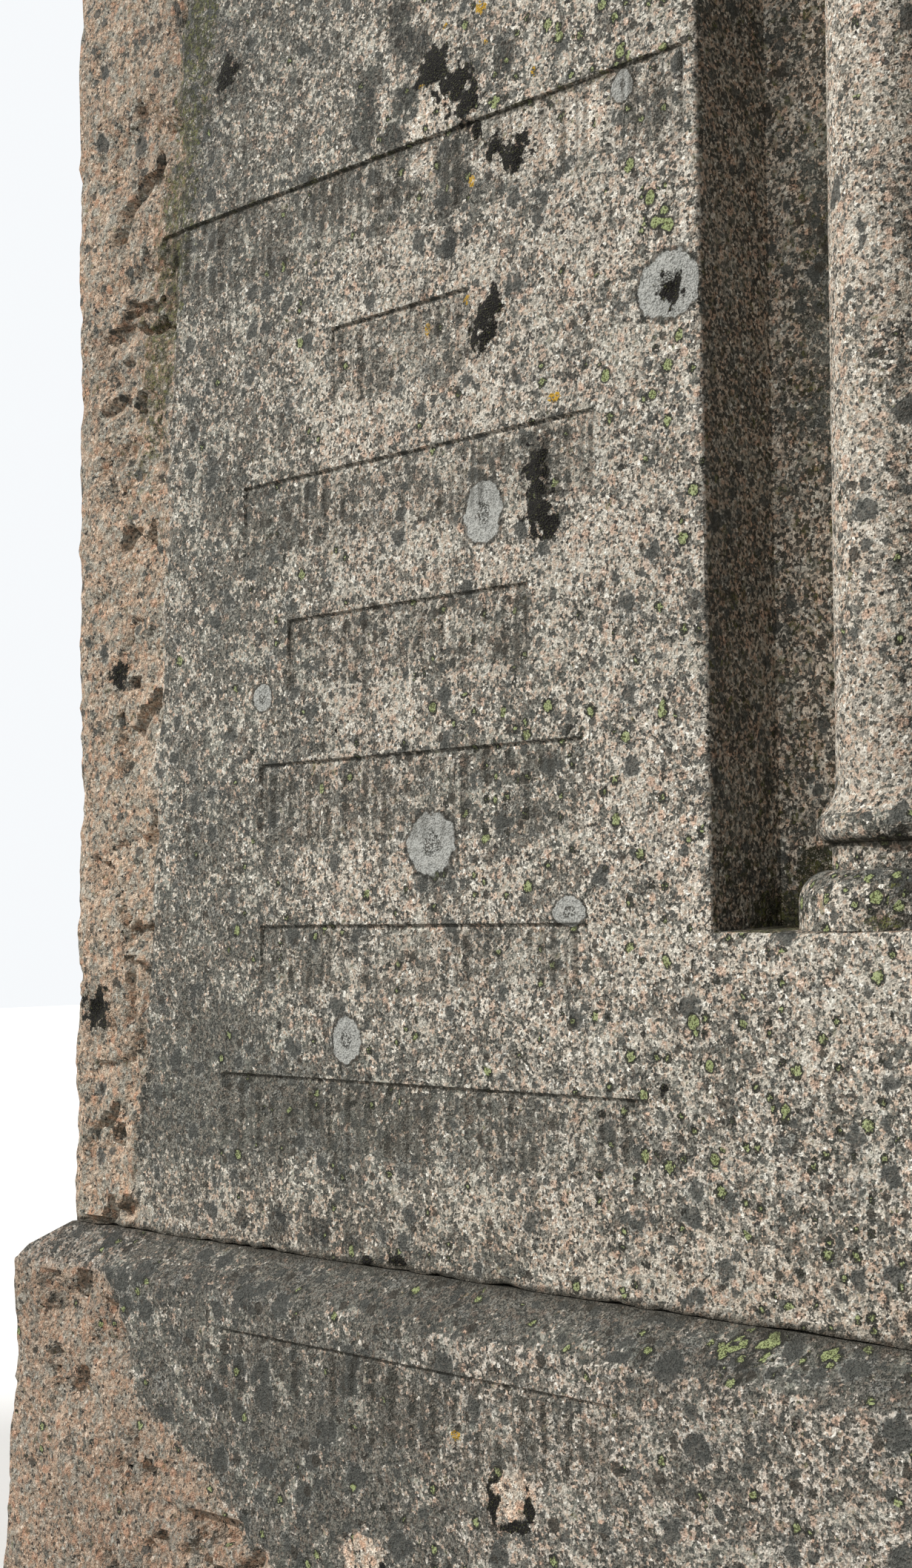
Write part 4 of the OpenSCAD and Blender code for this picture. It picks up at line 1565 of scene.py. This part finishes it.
def course_polygons(course, xs, ys, zs):
    """Lower bed, upper bed, right end and inner end of a course stone; the outline of an end
    follows the slope."""
    x, y = course.end_x, course.end_y
    slope_z = course.arris + SLOPE_WAYS[1:] * SLOPE_H
    slope_out = -COURSE + SLOPE_WAYS[1:] * COURSE_OUT

    def squeeze(along, far):
        """Places on the arris moved to the line of the die above it."""
        return -HALF + (along + COURSE) * (far + HALF) / (far + COURSE)
    low = round_bed(in_row(xs, -COURSE, course.z0), [x, y, course.z0],
                    in_row(-COURSE, ys, course.z0))
    high = round_bed(in_row(squeeze(xs, x), -HALF, course.z1), [x, y, course.z1],
                     in_row(-HALF, squeeze(ys, y), course.z1))
    far = [[x, y, course.z1], [x, y, course.z0]]
    right_end = np.concatenate([in_row(x, -COURSE, zs), in_row(x, slope_out, slope_z), far])
    inner_end = np.concatenate([in_row(-COURSE, y, zs), in_row(slope_out, y, slope_z), far])
    return [(low, (0, 0, -1)), (high, (0, 0, 1)), (right_end, (1, 0, 0)), (inner_end, (0, 1, 0))]


print("grid lines of the front plinth stone:", [len(v) for v in course_lines(Course("plinth", 0))])

# %% [markdown]
# There are four plinth stones and four cap stones. Each is worked out as if it were at the
# front, and turned to its side when it is done, so that one set of formulas serves all.

# %% Plinth and cap courses
CAP_NAMES = ["front_left", "front_right", "back_right", "back_left"]


def course_stone(kind, side, corner, material):
    """A dressed course stone in the place of the node of the same name."""
    course = Course(kind, side)
    grid_lines = course_lines(course)
    return stone(f"worn_{corner}_{kind}_stone", course_sheets(course, *grid_lines),
                 course_polygons(course, *grid_lines), course_wear(course),
                 course_growth(course), side, material, f"{corner}_{kind}_stone")


for k in range(4):
    course_stone("plinth", k, SIDES[k], plinth_granite)
    course_stone("cap", k, CAP_NAMES[k], cap_granite)

# %% [markdown]
# ## Columns
# A column is a profile turned half-way round its axis: a foot drum with a rounded shoulder, a
# short neck, a half-round ring, and the tapering shaft with a hollow flare at each end. The
# section is a list of straight runs and arcs, and the turned surface is the section times the
# cosine and sine of the angle. The flat back lies against the wall of the recess.

# %% Section of a column
DRUM_OUT = 27 * MM
DRUM_H = 42 * MM
SHOULDER = 22 * MM
NECK_OUT = 3.5 * MM
NECK_H = 18 * MM
RING_OUT = 14 * MM
RING_H = 24 * MM
RING_CUT = 4 * MM
FLARE_H = 26 * MM
FLARE_R = 36 * MM
FLARE_POINTS = 9
SHAFT_R = (base_high.x - base_low.x) / 2 - DRUM_OUT
TOP_R = (capital_high.x - capital_low.x) / 2 - DRUM_OUT


def arc(cx, cz, radius, start, stop, n):
    """Points of an arc: the centre plus the radius times cosine and sine of the angle."""
    angle = np.radians(np.linspace(start, stop, n))
    return np.column_stack([cx + radius * np.cos(angle), cz + radius * np.sin(angle)])


def straight(r0, z0, r1, z1, n):
    """n points evenly along a straight run."""
    return np.column_stack([np.linspace(r0, r1, n), np.linspace(z0, z1, n)])


def joined(parts):
    """The runs of a section in one, without the points that repeat the one before."""
    points = np.concatenate(parts)
    apart = np.linalg.norm(np.diff(points, axis=0), axis=1) > SAME
    return points[np.concatenate([[True], apart])]


def moulding_profile(r, n):
    """Section of the base for shaft radius r, from the foot up, with n points on an arc."""
    drum = r + DRUM_OUT
    ring_r = RING_H / 2
    ring_z = DRUM_H + NECK_H
    cut = math.degrees(math.asin((ring_r - RING_CUT) / ring_r))
    return joined([
        straight(drum, 0, drum, DRUM_H - SHOULDER, 4),
        arc(drum - SHOULDER, DRUM_H - SHOULDER, SHOULDER, 0, 90, n),
        straight(r + NECK_OUT, DRUM_H, r + NECK_OUT, ring_z, 5),
        arc(r + RING_OUT - ring_r, ring_z + ring_r, ring_r, -90, cut, n + 4),
    ])


def shaft_profile(low_r, high_r, tall, n):
    """Section of the shaft: a hollow flare, the straight taper and a flare."""
    lean = math.degrees(math.asin(FLARE_H / FLARE_R))
    return joined([
        arc(low_r + FLARE_R, FLARE_H, FLARE_R, 180 + lean, 180, FLARE_POINTS),
        straight(low_r, FLARE_H, high_r, tall - FLARE_H, n),
        arc(high_r + FLARE_R, tall - FLARE_H, FLARE_R, 180, 180 - lean, FLARE_POINTS),
    ])


print(f"shaft radius {SHAFT_R:.4f} at the foot, {TOP_R:.4f} at the top")

# %% [markdown]
# The columns are the cleanest stones. Lichen settles on what faces up, the shoulder and the
# ring. Under the ring the colour is darkened, partly for dirt where no rain gets and partly as
# painted shade under the overhang. The slope of the surface could tell what faces up, but the
# wear makes it uneven, so the known heights are used.

# %% Growths of a column
def column_growth(seed, kind, marked=False):
    """Film and map lichen towards the foot and the far side, green at the wall and a darker
    colour close to it. The base has more lichen on its shoulder and ring, and under the ring a
    dark line, partly grime where no rain gets and partly painted shade under its overhang."""
    def growth(p):
        out = {key: np.zeros(len(p)) for key in GROWTH_KEYS}
        drift = rough(p, 0.15, seed, 3)
        foot = step(0.14, 0.0, p[:, 2] - LEDGE_Z)
        far = step(-10 * MM, 60 * MM, p[:, 0])
        out["crust"] = np.clip(0.22 + 0.2 * drift + 0.24 * foot + 0.20 * far, 0, 1)
        out["map"] = np.clip(0.02 + 0.20 * foot + 0.05 * drift, 0, 1)
        near_wall = step(16 * MM, 0, WALL_Y - p[:, 1])
        out["green"] = np.clip(0.45 * near_wall * (0.4 + foot), 0, 1)
        # Darker close to the wall.
        out["dirt"] = 0.4 * near_wall
        out["worn"] = np.full(len(p), 0.4)
        out["tone"] = 0.16 * rough(p, 0.10, seed + 22, 3)
        if kind == "base":
            shoulder_z = LEDGE_Z + DRUM_H
            neck_z = shoulder_z + NECK_H
            ring_z = neck_z + RING_H - RING_CUT
            # Dark line under the ring: dirt, and painted shade under its overhang.
            under = step(5 * MM, 2 * MM, np.abs(p[:, 2] - neck_z + MM))
            out["dirt"] = np.clip(out["dirt"] + 0.95 * under, 0, 1)
            tops = step(9 * MM, 1 * MM, np.abs(p[:, 2] - shoulder_z + 4 * MM))
            tops = np.maximum(tops, step(9 * MM, 2 * MM, np.abs(p[:, 2] - ring_z)))
            out["crust"] = np.clip(out["crust"] + 0.45 * tops, 0, 1)
            out["map"] = np.clip(out["map"] + 0.24, 0, 1)
        if marked:
            out["map"] = np.maximum(out["map"], MAP_STRENGTH * mark_field(p, BASE_MAP))
            out["green"] = np.maximum(out["green"], mark_field(p, BASE_GREEN))
        return out
    return growth


# %% [markdown]
# A turned piece is one grid, a flat back and two ends. A base ends on the sloping ledge and a
# capital under the sloping head, so their end points are moved up or down to that slope.

# %% Turned pieces
def ledge_seat(y, z):
    """Foot of the base: where it would sink into the sloping ledge it is cut to the slope."""
    return np.maximum(z, LEDGE_Z + LEDGE_RISE * (y + HALF) / RECESS_DEEP)


def head_seat(y, z):
    """Top of the capital, cut to the sloping head of the recess."""
    return np.minimum(z, HEAD_Z - LEDGE_RISE * (y + HALF) / RECESS_DEEP)


def no_seat(y, z):
    """The shaft ends square."""
    return z


def turned(kind, side, profile, z_of, seat, turns, seed):
    """Half turn of a profile. A point has the radius r and the angle v from -90 to 90 degrees:
    x = r sin v and y = wall - r cos v. seat(y, z) fits the end to the sloping ledge."""
    v = np.radians(np.linspace(-90, 90, turns))
    r = profile[:, 0][:, None]
    x = r * np.sin(v)
    y = WALL_Y - r * np.cos(v)
    z = z_of(profile[:, 1])[:, None] + 0 * v
    x[:, 0] = -profile[:, 0]
    x[:, -1] = profile[:, 0]
    y[:, [0, -1]] = WALL_Y
    points = np.stack([x, y, seat(y, z)], -1)
    back = np.concatenate([points[:, 0], points[::-1, -1]])
    up = 1 if points[-1, 0, 2] > points[0, 0, 2] else -1
    polygons = [(points[0], (0, 0, -up)), (points[-1], (0, 0, up)), (back, (0, 1, 0))]

    def wear(p):
        """Dips of up to 0.9 mm, straight towards the axis, that end at the wall."""
        flat = p - np.array([0, WALL_Y, 0])
        flat[:, 2] = 0
        length = np.maximum(np.linalg.norm(flat, axis=1), SAME)[:, None]
        dips = 0.45 * MM * (1 + rough(p, 14 * MM, seed + 10, 3))
        return p - flat / length * (dips * step(0, 8 * MM, WALL_Y - p[:, 1]))[:, None]
    node = f"{SIDES[side]}_column_{kind}"
    growth = column_growth(seed, kind, kind == "base" and side == 0)
    return stone("worn_" + node, [(points, (0, -1, 0))], polygons, wear, growth, side,
                 column_granite, node)


# %% [markdown]
# Every side has a base, a shaft and a capital, and the capital is the base upside down. The
# front column is near the camera, so it gets more points than the other three.

# %% Four columns
COLUMN_SEED = 700
COLUMN_SEED_STEP = 20
SHOWN_TURN = {"turns": 61, "arc": 10, "rows": 190}
OTHER_TURN = {"turns": 33, "arc": 6, "rows": 40}

for k in range(4):
    detail = SHOWN_TURN if k == 0 else OTHER_TURN
    parts = [
        ("base", moulding_profile(SHAFT_R, detail["arc"]), lambda z: LEDGE_Z + z, ledge_seat),
        ("shaft", shaft_profile(SHAFT_R, TOP_R, shaft_high.z - shaft_low.z, detail["rows"]),
         lambda z: shaft_low.z + z, no_seat),
        ("capital", moulding_profile(TOP_R, detail["arc"]), lambda z: HEAD_Z - z, head_seat),
    ]
    for number, part in enumerate(parts):
        turned(part[0], k, *part[1:], detail["turns"],
               COLUMN_SEED + COLUMN_SEED_STEP * number + k)

# %% [markdown]
# ## The core
# The masonry behind the facing stones shows only from below. It keeps its CAD mesh and gets
# the same granite recipe in a darker tint.

# %% Core
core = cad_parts["core"]
core.data.materials.clear()
core.data.materials.append(core_masonry)
print("core:", len(core.data.polygons), "faces from the frame, in", core.data.materials[0].name)

# %% [markdown]
# ## Floor
# A plain pale floor. The camera sees it brighter than it is for the light that it throws back,
# so that it doesn't light the rock faces from below.

# %% Floor
FLOOR_HALF = 14.0
FLOOR_LIT = (0.34, 0.34, 0.33, 1)
FLOOR_SEEN = (0.78, 0.78, 0.77, 1)
corners = [(-FLOOR_HALF, -FLOOR_HALF, 0), (FLOOR_HALF, -FLOOR_HALF, 0),
           (FLOOR_HALF, FLOOR_HALF, 0), (-FLOOR_HALF, FLOOR_HALF, 0)]
floor_mesh = bpy.data.meshes.new("floor")
floor_mesh.from_pydata(corners, [], [(0, 1, 2, 3)])
floor = bpy.data.objects.new("floor", floor_mesh)
bpy.context.scene.collection.objects.link(floor)

floor_paint = bpy.data.materials.new("floor paint")
floor_paint.use_nodes = True
floor_shader = floor_paint.node_tree.nodes["Principled BSDF"]
floor_shader.inputs["Roughness"].default_value = 0.9
floor_tree = Painter(floor_paint.node_tree)
by_camera = floor_tree.put("ShaderNodeLightPath").outputs["Is Camera Ray"]
floor_tree.give(floor_tree.mix(by_camera, FLOOR_LIT, FLOOR_SEEN),
                floor_shader.inputs["Base Color"])
floor_mesh.materials.append(floor_paint)
print("floor", 2 * FLOOR_HALF, "m wide")

# %% [markdown]
# ## Light
# The key light comes from the left and the front, high up, as it has to for the recess to stay
# in shadow while the column catches light. A weak lamp straight ahead reaches the back of the
# recess and the far side of the column. A third stands behind and to the right for the sides
# that the others leave in shade, and never reaches the front.

# %% Light
WARM = (1.0, 0.975, 0.94)
WARMER = (1.0, 0.97, 0.93)
WHITE = (1, 1, 1)


def sun_lamp(name, energy, spread, from_left, height, colour):
    """A sun that stands the angle from_left to the left of the front, seen from above, and
    the angle height over the ground. Its rays go the opposite way."""
    lamp = bpy.data.lights.new(name, "SUN")
    lamp.energy = energy
    lamp.angle = math.radians(spread)
    lamp.color = colour
    across, up = math.radians(from_left), math.radians(height)
    toward = Vector((math.sin(across) * math.cos(up), math.cos(across) * math.cos(up),
                     -math.sin(up)))
    placed = bpy.data.objects.new(name, lamp)
    placed.rotation_euler = toward.to_track_quat("-Z", "Y").to_euler()
    bpy.context.scene.collection.objects.link(placed)
    print(f"{name}: energy {energy}, {height} degrees up, {from_left} to the left")


sun_lamp("key", energy=3.7, spread=2.5, from_left=39, height=38, colour=WARM)
sun_lamp("front", energy=0.85, spread=14, from_left=-8, height=24, colour=WARMER)
sun_lamp("back", energy=2.2, spread=12, from_left=-142, height=34, colour=WHITE)

# %% [markdown]
# ## Surround
# A plain pale surround fills the rest. The camera sees it bright, and the stone gets only a
# fifth of that light, or the shadows of the rock face would drown in it.

# %% Surround
SKY_FILL = {"Color": (0.93, 0.96, 1.0, 1), "Strength": 0.20}
SKY_SEEN = {"Color": (0.93, 0.95, 0.97, 1), "Strength": 1.0}
world = bpy.data.worlds.new("surround")
bpy.context.scene.world = world
world.use_nodes = True
world.node_tree.nodes.clear()
sky = Graph(world.node_tree)
rays = sky.put("ShaderNodeLightPath").outputs
seen = sky.calc("MAXIMUM", rays["Is Camera Ray"], rays["Is Glossy Ray"])
fill = sky.put("ShaderNodeBackground", SKY_FILL).outputs[0]
shown = sky.put("ShaderNodeBackground", SKY_SEEN).outputs[0]
both = sky.put("ShaderNodeMixShader", {0: seen, 1: fill, 2: shown})
sky.give(both.outputs[0], sky.put("ShaderNodeOutputWorld").inputs["Surface"])
bpy.context.scene.view_settings.view_transform = "Standard"
print("surround: strength", SKY_FILL["Strength"], "for the stone")

# %% [markdown]
# line hands the scene over.
